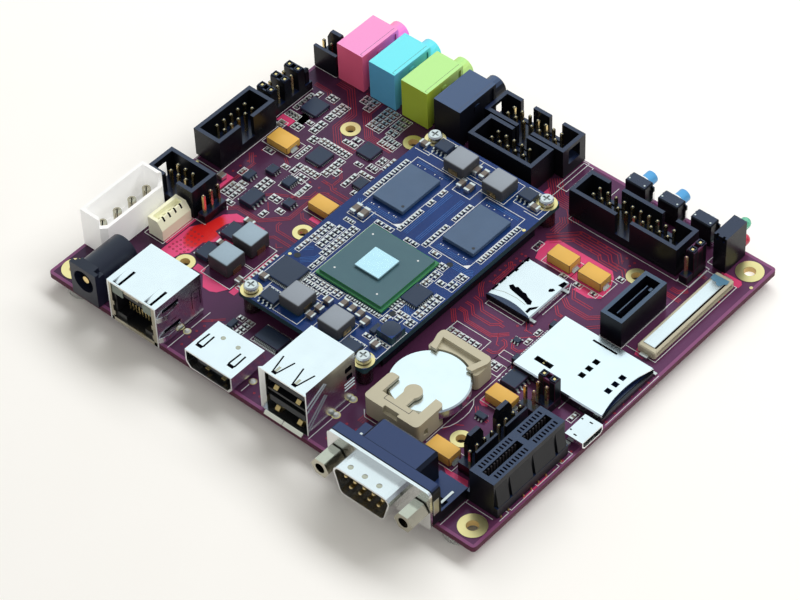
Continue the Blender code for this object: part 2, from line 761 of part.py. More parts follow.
def module_chips():
    centre_x, centre_y = module_centre()
    top = MODULE_TOP + SEAT
    x = centre_x + PACKAGE_OFFSET[0]
    y = centre_y + PACKAGE_OFFSET[1]
    rim = centred(PACKAGE_SIZE, PACKAGE_SIZE, 0, PACKAGE_RIM_HEIGHT)
    inner = PACKAGE_SIZE - 2 * PACKAGE_RIM
    cap = centred(inner, inner, PACKAGE_RIM_HEIGHT - SINK, PACKAGE_HEIGHT)
    model("processor_package", "package_teal", (x, y, top), rim, join(cap))
    die = softened(centred(DIE_SIZE, DIE_SIZE, 0, DIE_HEIGHT), DIE_HEIGHT / 5)
    model("processor_die", "silicon", (x, y, top + PACKAGE_HEIGHT + SEAT), die)
    for side, label in ((-1, "left"), (1, "right")):
        chip = centred(*MEMORY_SIZE, 0, MEMORY_HEIGHT)
        softened(chip, MEMORY_HEIGHT / 10)
        place = (centre_x + side * MEMORY_SPREAD / 2, centre_y + MEMORY_OFFSET, top)
        model(f"memory_chip_{label}", "memory_black", place, chip)


# Front edge: each jack has its middle at X = 0 and its front face at Y = 0


def front_place(columns, overhang):
    return Vector((column(columns), row(0) - overhang, BOARD_TOP))


def network_jack():
    width, depth, height = NET_SIZE
    place = front_place(NET_PLACE, NET_OVERHANG)
    can = block((-width / 2, width / 2), (0, depth), (0, height))
    inner = width / 2 - NET_WALL
    hollow = block((-inner, inner), (-REACH, depth - NET_WALL), (-REACH, height - NET_WALL))
    tab_width, tab_length = NET_TAB
    tabs = [
        block(
            (side * NET_TAB_SPREAD / 2 - tab_width / 2, side * NET_TAB_SPREAD / 2 + tab_width / 2),
            (NET_WALL, tab_length),
            (height - 2 * NET_WALL, height + REACH),
        )
        for side in (-1, 1)
    ]
    model("network_jack_shield", "nickel", place, can, cut(hollow), cut(*tabs))
    core_half = inner - FIT
    core_top = height - NET_WALL - FIT
    core = block((-core_half, core_half), (NET_FACE_RECESS, depth - NET_WALL - FIT), (0, core_top))
    mouth_width, mouth_depth, mouth_height = NET_MOUTH
    mouth = block(
        (-mouth_width / 2, mouth_width / 2),
        (-REACH, mouth_depth),
        (NET_MOUTH_RISE, NET_MOUTH_RISE + mouth_height),
    )
    latch_width, latch_drop = NET_LATCH
    latch = block(
        (-latch_width / 2, latch_width / 2),
        (-REACH, mouth_depth - REACH),
        (NET_MOUTH_RISE - latch_drop, NET_MOUTH_RISE + SINK),
    )
    model("network_jack_insert", "black_plastic", place, core, cut(mouth), cut(latch))


def power_jack():
    width, depth, height = DC_SIZE
    place = front_place(DC_PLACE, DC_OVERHANG)
    radius = width / 2
    axis = height - radius
    face = block((-radius, radius), (0, DC_FACE), (0, height))
    arch = [(0, -radius)]
    arch += [(0, radius)]
    for step in range(13):
        angle = math.pi * step / 12
        arch.append((axis + radius * math.sin(angle), radius * math.cos(angle)))
    barrel = prism([(u, v) for u, v in arch], DC_FACE - SINK, depth, "Y")
    bore = rod(DC_BORE_RADIUS, -REACH, DC_BORE_DEPTH, "Y", at=(axis, 0))
    notch_x, notch_y, notch_z = DC_NOTCH
    notches = [
        block(
            sorted((side * (radius - notch_x), side * (radius + REACH))),
            (DC_FACE - notch_y, DC_FACE + REACH),
            (height - notch_z, height + REACH),
        )
        for side in (-1, 1)
    ]
    model("power_jack_housing", "black_plastic", place, face, join(barrel), cut(bore), cut(*notches))
    pin = rod(DC_PIN_RADIUS, DC_BORE_DEPTH - FIT - DC_PIN_LENGTH, DC_BORE_DEPTH - FIT, "Y", (axis, 0), 16)
    model("power_jack_pin", "gold", place, pin)


def video_outline(width, height, taper_x, taper_z, low):
    half = width / 2
    return [
        (low + height, half),
        (low + height, -half),
        (low + taper_z, -half),
        (low, -half + taper_x),
        (low, half - taper_x),
        (low + taper_z, half),
    ]


def video_jack():
    width, depth, height = VIDEO_SIZE
    taper_x, taper_z = VIDEO_TAPER
    place = front_place(VIDEO_PLACE, VIDEO_OVERHANG)
    shell = prism(video_outline(width, height, taper_x, taper_z, 0), 0, depth, "Y")
    inner_width = width - 2 * VIDEO_WALL
    inner_height = height - 2 * VIDEO_WALL
    hollow = prism(
        video_outline(inner_width, inner_height, taper_x, taper_z, VIDEO_WALL), -REACH, depth + REACH, "Y"
    )
    model("video_jack_shell", "nickel", place, shell, cut(hollow))
    core_width = inner_width - 2 * FIT
    core_height = inner_height - 2 * FIT
    core = prism(
        video_outline(core_width, core_height, taper_x, taper_z, VIDEO_WALL + FIT),
        depth - VIDEO_BLOCK,
        depth - FIT,
        "Y",
    )
    tongue_width, tongue_height = VIDEO_TONGUE
    middle = height / 2
    tongue = block(
        (-tongue_width / 2, tongue_width / 2),
        (VIDEO_TONGUE_RECESS, depth - VIDEO_BLOCK + SINK),
        (middle - tongue_height / 2, middle + tongue_height / 2),
    )
    model("video_jack_insert", "black_plastic", place, core, join(tongue))


def usb_jack():
    width, depth, height = USB_SIZE
    place = front_place(USB_PLACE, -USB_INSET)
    half = width / 2
    inner = half - USB_WALL
    can = block((-half, half), (0, depth), (0, height))
    lip = flared_lip(half, 0, height)
    sill_reach, sill_end, sill_gap = USB_SILL
    sills = [
        block(
            sorted((side * sill_gap / 2, side * (half - sill_end))), (-sill_reach, SINK), (0, USB_WALL)
        )
        for side in (-1, 1)
    ]
    hollow = block((-inner, inner), (-REACH, depth - USB_WALL), (USB_WALL, height - USB_WALL))
    mouth = flared_lip(inner, USB_WALL, height - USB_WALL, extra=REACH)
    model("usb_jack_shell", "nickel", place, can, join(lip), cut(hollow), cut(mouth), join(*sills))
    core_half = inner - FIT
    back = depth - USB_WALL - FIT
    core = block((-core_half, core_half), (back - USB_BLOCK, back), (USB_WALL + FIT, height - USB_WALL - FIT))
    tongue_width, tongue_depth, tongue_height = USB_TONGUE
    reach = (back - USB_BLOCK - tongue_depth, back - USB_BLOCK + SINK)
    pieces = []
    for port in (0, 1):
        rise = USB_TONGUE_RISE + port * USB_PORT_PITCH
        pieces.append(block((-tongue_width / 2, tongue_width / 2), reach, (rise - tongue_height, rise)))
    middle = height / 2
    divider = (middle - USB_DIVIDER / 2, middle + USB_DIVIDER / 2)
    pieces.append(block((-core_half, core_half), reach, divider))
    model("usb_jack_insert", "black_plastic", place, core, join(*pieces))


def flared_lip(half, low, high, extra=0.0):
    """The mouth's rectangle, widening towards the front at its sides."""
    reach = USB_FLARE + extra
    outline = [(-half, SINK), (-half - reach, SINK - reach), (half + reach, SINK - reach), (half, SINK)]
    return prism(outline, low, high)


def d_outline(width, height, corner):
    """The D shape, wide side up, as (height, side) pairs about its middle."""
    top = width / 2
    bottom = top - height * D_SLANT
    low = -height / 2
    high = height / 2
    points = []
    for centre_side, centre_height, start in (
        (bottom - corner, low + corner, -90),
        (top - corner, high - corner, 0),
        (-top + corner, high - corner, 90),
        (-bottom + corner, low + corner, 180),
    ):
        for step in range(4):
            angle = math.radians(start + step * 30)
            side = centre_side + corner * math.cos(angle)
            points.append((centre_height + corner * math.sin(angle), side))
    return points


def d_connector():
    face_width, face_depth, face_height = D_FACE
    place = front_place(D_PLACE, D_OVERHANG)
    screw_places = [side * JACKSCREW_SPREAD / 2 for side in (-1, 1)]
    outline = [(v + face_height / 2, u) for u, v in rounded(face_width, face_height, D_FACE_CORNER)]
    plate = prism(outline, 0, face_depth, "Y")
    width, height = D_SHROUD
    raised = [(u + D_AXIS_RISE, v) for u, v in d_outline(width, height, D_SHROUD_CORNER)]
    shroud = prism(raised, -D_SHROUD_LENGTH, SINK, "Y")
    inner = d_outline(width - 2 * D_WALL, height - 2 * D_WALL, D_SHROUD_CORNER - D_WALL)
    hollow = prism([(u + D_AXIS_RISE, v) for u, v in inner], -D_SHROUD_LENGTH - REACH, face_depth + REACH, "Y")
    shank_clear = JACKSCREW_SHANK + FIT
    holes = [
        rod(shank_clear, -REACH, face_depth + REACH, "Y", (D_AXIS_RISE, x), 16) for x in screw_places
    ]
    model("d_connector_face", "nickel", place, plate, join(shroud), cut(hollow, *holes))
    gap = D_WALL + FIT
    core_outline = d_outline(width - 2 * gap, height - 2 * gap, D_SHROUD_CORNER - gap)
    core = prism([(u + D_AXIS_RISE, v) for u, v in core_outline], face_depth - D_INSULATOR, face_depth, "Y")
    pins = []
    for line, count in ((0.5, 5), (-0.5, 4)):
        for number in range(count):
            x = (number - (count - 1) / 2) * D_PIN_PITCH
            at = (D_AXIS_RISE + line * D_ROW_PITCH, x)
            pins.append(rod(D_PIN_RADIUS, -D_PIN_REACH, face_depth - D_INSULATOR + SINK, "Y", at, 8))
    model("d_connector_insert", "black_plastic", place, core, join(*pins))
    start = face_depth + FIT
    behind = start + D_FLANGE_DEPTH
    flange = prism(outline, start, behind, "Y")
    body_width, body_depth, body_height = D_BODY
    body = block((-body_width / 2, body_width / 2), (behind - SINK, behind + body_depth), (0, body_height))
    softened(body, D_BODY_EDGE)
    skirt_depth, skirt_rise = D_SKIRT
    skirts = [
        block(
            sorted((side * (body_width / 2 - D_BODY_EDGE - SINK), side * face_width / 2)),
            (behind - SINK, behind + skirt_depth),
            (0, skirt_rise),
        )
        for side in (-1, 1)
    ]
    well_width, well_depth, well_drop = D_SKIRT_WELL
    wells = [
        block(
            sorted((side * (face_width / 2 - FIT * 2), side * (face_width / 2 - FIT * 2 - well_width))),
            (behind + FIT * 2, behind + FIT * 2 + well_depth),
            (skirt_rise - well_drop, skirt_rise + REACH),
        )
        for side in (-1, 1)
    ]
    screw_wells = [
        rod(shank_clear, start - REACH, start + D_FLANGE_DEPTH / 2, "Y", (D_AXIS_RISE, x), 16)
        for x in screw_places
    ]
    model(
        "d_connector_housing",
        "black_plastic",
        place,
        flange,
        join(body),
        join(*skirts),
        cut(*wells, *screw_wells),
    )
    for x, label in zip(screw_places, ("left", "right")):
        nut = rod(JACKSCREW_RADIUS, -SEAT - JACKSCREW_LENGTH, -SEAT, "Y", sides=6)
        bore_radius, bore_depth = JACKSCREW_BORE
        front = -SEAT - JACKSCREW_LENGTH
        bore = rod(bore_radius, front - REACH, front + bore_depth, "Y", sides=12)
        shank = rod(JACKSCREW_SHANK, -SEAT - SINK, start + D_FLANGE_DEPTH / 2 - FIT, "Y", sides=12)
        at = place + Vector((x, 0, D_AXIS_RISE))
        model(f"jackscrew_{label}", "nickel", at, nut, cut(bore), join(shank))


# Headers


def disk_header():
    width, length, height = DISK_SIZE
    half_x = width / 2
    half_y = length / 2
    outline = [
        (-half_x, -half_y),
        (half_x - DISK_CHAMFER, -half_y),
        (half_x, -half_y + DISK_CHAMFER),
        (half_x, half_y - DISK_CHAMFER),
        (half_x - DISK_CHAMFER, half_y),
        (-half_x, half_y),
    ]
    inner = [(x * (1 - DISK_WALL / half_x), y * (1 - DISK_WALL / half_y)) for x, y in outline]
    body = prism(outline, 0, height)
    hollow = prism(inner, DISK_FLOOR, height + REACH)
    pins = [
        rod(
            DISK_PIN_RADIUS,
            DISK_FLOOR - SINK,
            DISK_PIN_TOP,
            at=(0, (number - 1.5) * DISK_PIN_PITCH),
            sides=12,
        )
        for number in range(4)
    ]
    model("disk_power_header", "white_plastic", on_board(*DISK_PLACE), body, cut(hollow), join(*pins))


def cream_header():
    """A tall back wall and a sloped front, with a slotted channel between them."""
    width, length, height = CREAM_SIZE
    half = width / 2
    body = centred(width, length, 0, height)
    slope_x, slope_z = CREAM_SLOPE
    wedge = [
        (height - slope_z, half),
        (height - slope_z, half + REACH),
        (height + REACH, half + REACH),
        (height + REACH, half - slope_x),
        (height, half - slope_x),
    ]
    slant = prism(wedge, -length / 2 - REACH, length / 2 + REACH, "Y")
    low, high, deep = CREAM_CHANNEL
    reach = length / 2 - CREAM_END
    channel = block((low, high), (-reach, reach), (height - deep, height + REACH))
    slot_x, slot_y, slot_z = CREAM_SLOT
    slots = [
        centred(
            slot_x,
            slot_y,
            height - slot_z - deep,
            height + REACH,
            x=(low + high) / 2,
            y=(number - (CREAM_SLOTS - 1) / 2) * CREAM_SLOT_PITCH,
        )
        for number in range(CREAM_SLOTS)
    ]
    model(
        "cream_header",
        "cream_plastic",
        on_board(*CREAM_PLACE),
        body,
        cut(slant),
        cut(channel),
        cut(*slots),
    )


def box_header(name, pins, place, turn=0, notch="front", slots=(), windows=False):
    """A shrouded header. Slots are the places of further cuts through the back wall, from -1 to 1."""
    length = (pins - 1) * PITCH + 2 * BOX_END
    half_x = length / 2
    half_y = BOX_DEPTH / 2
    body = centred(length, BOX_DEPTH, 0, BOX_HEIGHT)
    hollow = centred(length - 2 * BOX_WALL, BOX_DEPTH - 2 * BOX_WALL, BOX_FLOOR, BOX_HEIGHT + REACH)
    side = -1 if notch == "front" else 1
    walls = sorted((side * (half_y - BOX_WALL - SINK), side * (half_y + REACH)))
    cuts = [block((-BOX_NOTCH / 2, BOX_NOTCH / 2), walls, (BOX_NOTCH_FLOOR, BOX_HEIGHT + REACH))]
    for share in slots:
        x = share * half_x
        cuts.append(
            block(
                (x - BOX_SLOT / 2, x + BOX_SLOT / 2),
                (half_y - BOX_WALL - SINK, half_y + REACH),
                (BOX_NOTCH_FLOOR, BOX_HEIGHT + REACH),
            )
        )
    if windows:
        window_depth, window_height = BOX_WINDOW
        middle = (BOX_FLOOR + BOX_HEIGHT) / 2
        for end in (-1, 1):
            cuts.append(
                block(
                    sorted((end * (half_x - BOX_WALL - SINK), end * (half_x + REACH))),
                    (-window_depth / 2, window_depth / 2),
                    (middle - window_height / 2, middle + window_height / 2),
                )
            )
    posts = []
    for number in range(pins):
        for line in (-0.5, 0.5):
            x = (number - (pins - 1) / 2) * PITCH
            posts.append(
                centred(PIN_SIDE, PIN_SIDE, BOX_FLOOR - SINK, BOX_PIN_TOP, x, line * PITCH)
            )
    model(name, "black_plastic", place, body, cut(hollow), cut(*cuts), join(*posts), turn=turn)


def box_headers():
    box_header("box_header_small", 3, on_board(*BOX_SMALL_PLACE))
    box_header("box_header_left", 5, on_board(*BOX_LEFT_PLACE), turn=math.pi / 2)
    back = on_board(*BOX_BACK_PLACE)
    box_header("box_header_back", 5, back, notch="back")
    slotted = back + Vector((0, BOX_DEPTH + BOX_GAP, 0))
    box_header("box_header_slotted", 7, slotted, slots=(-0.405, 0.32), windows=True)
    box_header("box_header_long", 10, on_board(*BOX_LONG_PLACE), slots=(-0.5, 0.5))


def lock_header(name, pins, place, turn=0, walls=1, fence=False):
    """Pins along X in a base, with tall walls behind them that lock the plugs."""
    total = pins * walls
    length = total * PITCH
    depth, rise = LOCK_BASE
    back = depth / 2
    base = centred(length, depth, 0, rise)
    wall_depth, wall_width, wall_top = LOCK_WALL
    half = wall_width / 2
    parts = []
    for number in range(walls):
        middle = (number - (walls - 1) / 2) * pins * PITCH
        outline = [
            (rise - SINK, middle - half),
            (wall_top - 2 * wall_depth, middle - half),
            (wall_top, middle - half + wall_depth),
            (wall_top, middle + half - wall_depth),
            (wall_top - 2 * wall_depth, middle + half),
            (rise - SINK, middle + half),
        ]
        parts.append(prism(outline, back - wall_depth, back, "Y"))
    if fence:
        fence_depth, fence_top = LOCK_BACK_FENCE
        parts.append(
            block((-length / 2, length / 2), (-back, -back + fence_depth), (rise - SINK, fence_top))
        )
    posts = [
        centred(PIN_SIDE, PIN_SIDE, rise - SINK, LOCK_PIN_TOP, (number - (total - 1) / 2) * PITCH)
        for number in range(total)
    ]
    model(name, "black_plastic", place, base, join(*parts), join(*posts), turn=turn)


def lock_headers():
    lock_header("lock_header_pair", LOCK_PINS, on_board(*LOCK_PAIR_PLACE), turn=math.pi / 2, walls=2)
    lock_header("lock_header_back", LOCK_BACK_PINS, on_board(*LOCK_BACK_PLACE), fence=True)


# Back edge


def audio_jack(label, finish, place):
    width, depth, height = AUDIO_SIZE
    half = width / 2
    body = block((-half, half), (-depth, 0), (0, height))
    nose = rod(AUDIO_NOSE_RADIUS, -SINK, AUDIO_NOSE_LENGTH, "Y", (AUDIO_AXIS_RISE, 0), 20)
    panel_depth, frame = AUDIO_PANEL
    panels = [
        block(
            sorted((side * (half - panel_depth), side * (half + REACH))),
            (-depth + 2 * frame, -frame),
            (-REACH, height - frame),
        )
        for side in (-1, 1)
    ]
    bosses = [
        rod(
            AUDIO_BOSS_RADIUS,
            *sorted((side * (half - 2 * panel_depth), side * (half - panel_depth / 3))),
            "X",
            (-depth / 2, height - 2 * AUDIO_BOSS_RADIUS - frame),
            12,
        )
        for side in (-1, 1)
    ]
    bore = rod(
        AUDIO_BORE_RADIUS,
        AUDIO_NOSE_LENGTH - AUDIO_BORE_DEPTH,
        AUDIO_NOSE_LENGTH + REACH,
        "Y",
        (AUDIO_AXIS_RISE, 0),
        16,
    )
    model(
        f"audio_jack_{label}", finish, place, body, cut(*panels), join(*bosses), join(nose), cut(bore)
    )


def audio_jacks():
    jacks = (
        ("pink", "audio_pink"),
        ("blue", "audio_blue"),
        ("green", "audio_green"),
        ("black", "black_plastic"),
    )
    for number, (label, finish) in enumerate(jacks):
        x = column(AUDIO_FIRST) + number * AUDIO_PITCH
        audio_jack(label, finish, Vector((x, BOARD_WIDTH / 2 - AUDIO_SETBACK, BOARD_TOP)))


def push_switches():
    """Each switch body is bored for its plunger, which slides in along -Y."""
    width, depth, height = SWITCH_SIZE
    half = width / 2
    for number, (label, reach) in enumerate(zip(("left", "middle", "right"), BUTTON_REACH)):
        x = column(SWITCH_FIRST) + number * SWITCH_PITCH
        place = Vector((x, BOARD_WIDTH / 2 - SWITCH_SETBACK, BOARD_TOP))
        body = softened(block((-half, half), (-depth, 0), (0, height)), FIT)
        bracket_width, bracket_depth, bracket_height = SWITCH_BRACKET
        bracket = block(
            (-bracket_width / 2, bracket_width / 2),
            (-bracket_depth - FIT, -FIT),
            (0, bracket_height),
        )
        well_depth = BUTTON_DEPTH + BUTTON_TRAVEL + FIT
        well_radius = BUTTON_RADIUS + BUTTON_CLEARANCE
        well = rod(well_radius, -well_depth, REACH, "Y", (SWITCH_AXIS_RISE, 0), 20)
        model(f"switch_{label}_body", "black_plastic", place, body, join(bracket), cut(well))
        axis = place + Vector((0, 0, SWITCH_AXIS_RISE))
        plunger = rod(BUTTON_RADIUS, -BUTTON_DEPTH, reach, "Y", sides=20)
        model(f"switch_{label}_button", "button_blue", axis, plunger)


def light_holder():
    width, depth, height = LIGHT_SIZE
    half = width / 2
    place = Vector((column(LIGHT_PLACE), BOARD_WIDTH / 2 - LIGHT_SETBACK, BOARD_TOP))
    body = block((-half, half), (-depth, 0), (0, height))
    wells = [
        rod(LIGHT_RADIUS + FIT / 2, -LIGHT_DEPTH - FIT, REACH, "Y", (rise, 0), 16) for rise in LIGHT_RISE
    ]
    notch_x, notch_y, notch_z = LIGHT_NOTCH
    notches = [
        centred(notch_x, notch_y, height - notch_z, height + REACH, x=side * half / 2, y=-depth)
        for side in (-1, 1)
    ]
    model("light_holder", "black_plastic", place, body, cut(*wells), cut(*notches))
    for rise, label, finish in zip(LIGHT_RISE, ("red", "green"), ("lens_red", "lens_green")):
        dome = LIGHT_RADIUS / 2
        profile = (
            (0, -LIGHT_DEPTH),
            (LIGHT_RADIUS, -LIGHT_DEPTH),
            (LIGHT_RADIUS, LIGHT_REACH - dome),
            (LIGHT_RADIUS * 0.75, LIGHT_REACH - dome * 0.35),
            (0, LIGHT_REACH),
        )
        lens = turned(profile, sides=16)
        bmesh.ops.rotate(lens, cent=(0, 0, 0), matrix=Matrix.Rotation(-math.pi / 2, 3, "X"), verts=lens.verts[:])
        model(f"light_{label}", finish, place + Vector((0, 0, rise)), lens)


# Right edge


def data_header():
    """The disk data header, with its L-shaped slot."""
    width, length, height = DATA_SIZE
    body = centred(width, length, 0, height)
    slot_width, slot_length, slot_depth = DATA_SLOT
    floor = height - slot_depth
    well = centred(width - 2 * DATA_WALL, length - 2 * DATA_WALL, floor, height + REACH)
    half = slot_length / 2
    tongue = centred(DATA_WALL, slot_length, floor - SINK, height - DATA_WALL)
    key = block((-DATA_WALL / 2, DATA_KEY / 2), (half - DATA_WALL, half), (floor - SINK, height - DATA_WALL))
    model("disk_data_header", "black_plastic", on_board(*DATA_PLACE), body, cut(well), join(tongue), join(key))


def display_connector():
    width, length, height = DISPLAY_SIZE
    body = centred(width, length, 0, height)
    slot_width, slot_height = DISPLAY_SLOT
    slot = block(
        (width / 2 - slot_width - REACH, width / 2 + REACH),
        (-length / 2 + slot_width, length / 2 - slot_width),
        (height / 2 - slot_height / 2, height / 2 + slot_height / 2),
    )
    model("display_connector", "nickel", on_board(*DISPLAY_PLACE), softened(body, FIT), cut(slot))


def sim_holder():
    """A flat card cage: the card goes in from +X, under a lid with windows and one spring strip."""
    width, depth, height = SIM_SIZE
    body = centred(width, depth, 0, height)
    bay_top = height - SIM_WALL
    bay = block(
        (-width / 2 + SIM_WALL * 4, width / 2 + REACH),
        (-depth / 2 + SIM_WALL, depth / 2 - SIM_WALL),
        (bay_top - SIM_BAY, bay_top),
    )
    radius = (SIM_MOUTH_DIP**2 + (depth / 2) ** 2) / (2 * SIM_MOUTH_DIP)
    dip = rod(radius, height / 2, height + REACH, at=(width / 2 - SIM_MOUTH_DIP + radius, 0), sides=96)
    rise = (bay_top - SIM_BAY / 2, height + REACH)
    windows = [
        centred(*SIM_WINDOW, *rise, x=x, y=(number - 1) * SIM_WINDOW_PITCH)
        for x in SIM_WINDOW_ROWS
        for number in range(3)
    ]
    windows.append(centred(*SIM_LONG_WINDOW, *rise, *SIM_LONG_PLACE))
    spring_x, spring_y = SIM_SPRING_PLACE
    windows.append(centred(*SIM_SPRING, *rise, spring_x, spring_y))
    model(
        "sim_holder",
        "nickel",
        on_board(*SIM_PLACE),
        softened(body, FIT),
        cut(bay),
        cut(dip),
        cut(*windows),
    )


def card_socket():
    width, depth, height = CARD_SIZE
    body = softened(centred(width, depth, 0, height), FIT)
    bay = block(
        (-width / 2 + CARD_WALL * 3, width / 2 - CARD_WALL * 3),
        (-depth / 2 - REACH, depth / 2 - CARD_WALL * 4),
        (CARD_WALL * 2, height - CARD_WALL),
    )
    model("memory_card_socket", "nickel", on_board(*CARD_PLACE), body, cut(bay))


def micro_jack():
    """The micro USB socket, whose mouth faces +X past the board's right edge."""
    depth, width, height = MICRO_SIZE
    place = Vector((BOARD_LENGTH / 2 + MICRO_OVERHANG, row(MICRO_ROW), BOARD_TOP))
    half = width / 2
    wall = MICRO_WALL

    def outline(shrink):
        return [
            (-half + shrink, height - shrink),
            (-half + shrink, MICRO_TAPER + shrink / 2),
            (-half + MICRO_TAPER + shrink / 2, shrink),
            (half - MICRO_TAPER - shrink / 2, shrink),
            (half - shrink, MICRO_TAPER + shrink / 2),
            (half - shrink, height - shrink),
        ]

    shell = prism(outline(0), -depth, 0, "X")
    hollow = prism(outline(wall), -depth + 2 * wall, REACH, "X")
    tongue = block(
        (-depth + wall, -2 * wall), (-half / 2, half / 2), (height / 2 + wall / 2, height - 2.5 * wall)
    )
    model("micro_usb_socket", "nickel", place, shell, cut(hollow), join(tongue))


def coin_cell():
    place = on_board(*CELL_PLACE) + Vector((0, 0, HOLDER_FLOOR + SEAT))
    profile = (
        (0, 0),
        (CELL_RADIUS - 2 * CELL_STEP, 0),
        (CELL_RADIUS, 2 * CELL_STEP),
        (CELL_RADIUS, CELL_HEIGHT - CELL_STEP),
        (CELL_RADIUS - CELL_STEP, CELL_HEIGHT),
        (0, CELL_HEIGHT),
    )
    model("coin_cell", "nickel", place, turned(profile, sides=48))


def cell_holder():
    """A moulded frame: two fingers and a round tab in front, a bridge with leaning arms behind."""
    cell_top = HOLDER_FLOOR + SEAT + CELL_HEIGHT
    lip = cell_top + FIT
    spine = centred(*HOLDER_SPINE, 0, HOLDER_FLOOR)
    front_width, front_depth, front_y = HOLDER_FRONT
    back_width, back_depth, back_y = HOLDER_BACK
    front = moved(prism(rounded(front_width, front_depth, HOLDER_CORNER), 0, HOLDER_HEIGHT), 0, front_y)
    back = moved(prism(rounded(back_width, back_depth, HOLDER_CORNER), 0, HOLDER_HEIGHT), 0, back_y)
    pocket = rod(CELL_RADIUS + FIT, HOLDER_FLOOR, lip, sides=48)
    above = (lip - FIT, HOLDER_HEIGHT + REACH)
    wall_y = front_y - front_depth / 2 + HOLDER_WALL
    windows = [
        block(
            sorted((side * HOLDER_STEM / 2, side * (front_width / 2 - HOLDER_FINGER))),
            (wall_y, front_y + front_depth / 2 + REACH),
            (HOLDER_HEIGHT / 2, HOLDER_HEIGHT + REACH),
        )
        for side in (-1, 1)
    ]
    head_radius, head_y = HOLDER_HEAD
    head = rod(head_radius, lip, HOLDER_HEIGHT, at=(0, head_y), sides=20)
    notch_width, notch_depth, notch_rise = HOLDER_NOTCH
    notch = block(
        (-notch_width / 2, notch_width / 2),
        (front_y - front_depth / 2 - REACH, front_y - front_depth / 2 + notch_depth),
        (HOLDER_HEIGHT - notch_rise, HOLDER_HEIGHT + REACH),
    )
    side_pockets = [
        block(
            sorted((side * (front_width / 2 - HOLDER_POCKET[2]), side * (front_width / 2 + REACH))),
            (wall_y - HOLDER_POCKET[0], wall_y),
            (HOLDER_FLOOR, HOLDER_FLOOR + HOLDER_POCKET[1]),
        )
        for side in (-1, 1)
    ]
    gaps = arm_gaps(back_width / 2, back_y - back_depth / 2, back_y + back_depth / 2 - HOLDER_BRIDGE, above)
    model(
        "cell_holder",
        "holder_cream",
        on_board(*CELL_PLACE),
        spine,
        join(front, back),
        cut(pocket),
        cut(*windows),
        cut(notch, *side_pockets),
        join(head),
        cut(*gaps),
    )


def arm_gaps(half, near, far, rise):
    """The openings beside the two leaning arms, from the bridge's inner edge towards the cell."""
    outer = half - HOLDER_ARM_LEAN
    start = near - REACH
    inner_far = half - HOLDER_ARM
    inner_near = outer - HOLDER_ARM
    middle = [(-inner_near, start), (inner_near, start), (inner_far, far), (-inner_far, far)]
    right = [(outer, start), (half + REACH, start), (half + REACH, far), (half, far)]
    left = [(-x, y) for x, y in right[::-1]]
    return [prism(outline, *rise) for outline in (middle, right, left)]


def edge_card_slot():
    """The slot's +X wall thickens downwards in a wedge that is split by narrow gaps."""
    width, length, height = CARD_SLOT_SIZE
    body = centred(width, length, 0, height)
    base_grow, base_height = CARD_SLOT_BASE
    base = centred(width + 2 * base_grow, length, 0, base_height)
    opening_width, opening_depth = CARD_SLOT_OPENING
    start = -(sum(CARD_SLOT_BAYS) + CARD_SLOT_KEY) / 2
    bays = []
    for bay in CARD_SLOT_BAYS:
        bays.append(
            block(
                (-opening_width / 2, opening_width / 2),
                (start, start + bay),
                (height - opening_depth, height + REACH),
            )
        )
        start += bay + CARD_SLOT_KEY
    half = width / 2
    wedge_out, wedge_top = CARD_SLOT_WEDGE
    profile = [
        (base_height - SINK, half - SINK),
        (base_height - SINK, half + wedge_out),
        (wedge_top, half),
        (wedge_top, half - SINK),
    ]
    wedge = prism(profile, -length / 2 + base_grow / 2, length / 2 - base_grow / 2, "Y")
    gaps = [
        block((half, half + 2 * wedge_out), (y - CARD_SLOT_GAP / 2, y + CARD_SLOT_GAP / 2), (base_height, wedge_top))
        for y in CARD_SLOT_GAPS
    ]
    place = on_board(*CARD_SLOT_PLACE)
    model("edge_card_slot", "slot_slate", place, body, join(base), join(wedge), cut(*gaps), cut(*bays))


def main():
    clear_scene()
    baseboard()
    feet()
    module_board()
    module_fixings()
    module_bridges()
    module_chips()
    network_jack()
    power_jack()
    video_jack()
    usb_jack()
    d_connector()
    disk_header()
    cream_header()
    box_headers()
    lock_headers()
    jumper_header()
    audio_jacks()
    push_switches()
    light_holder()
    data_header()
    display_connector()
    sim_holder()
    card_socket()
    micro_jack()
    coin_cell()
    cell_holder()
    edge_card_slot()


main()
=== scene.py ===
# %% [markdown]
# # A computer baseboard, dressed for its picture
# The object is a dark red circuit board that carries a blue processor module and many connectors.
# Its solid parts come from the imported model, which stays exactly where it is. This file gives them
# their finishes and adds what is too fine for the solids: copper tracks, white printed outlines, gold
# pins, chip legs and hundreds of tiny soldered parts. One way would be to paint all of it as a
# picture, but real thin pieces catch the light from every side, so they're modelled.

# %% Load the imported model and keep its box
import math

import bmesh
import bpy
from mathutils import Matrix, Vector


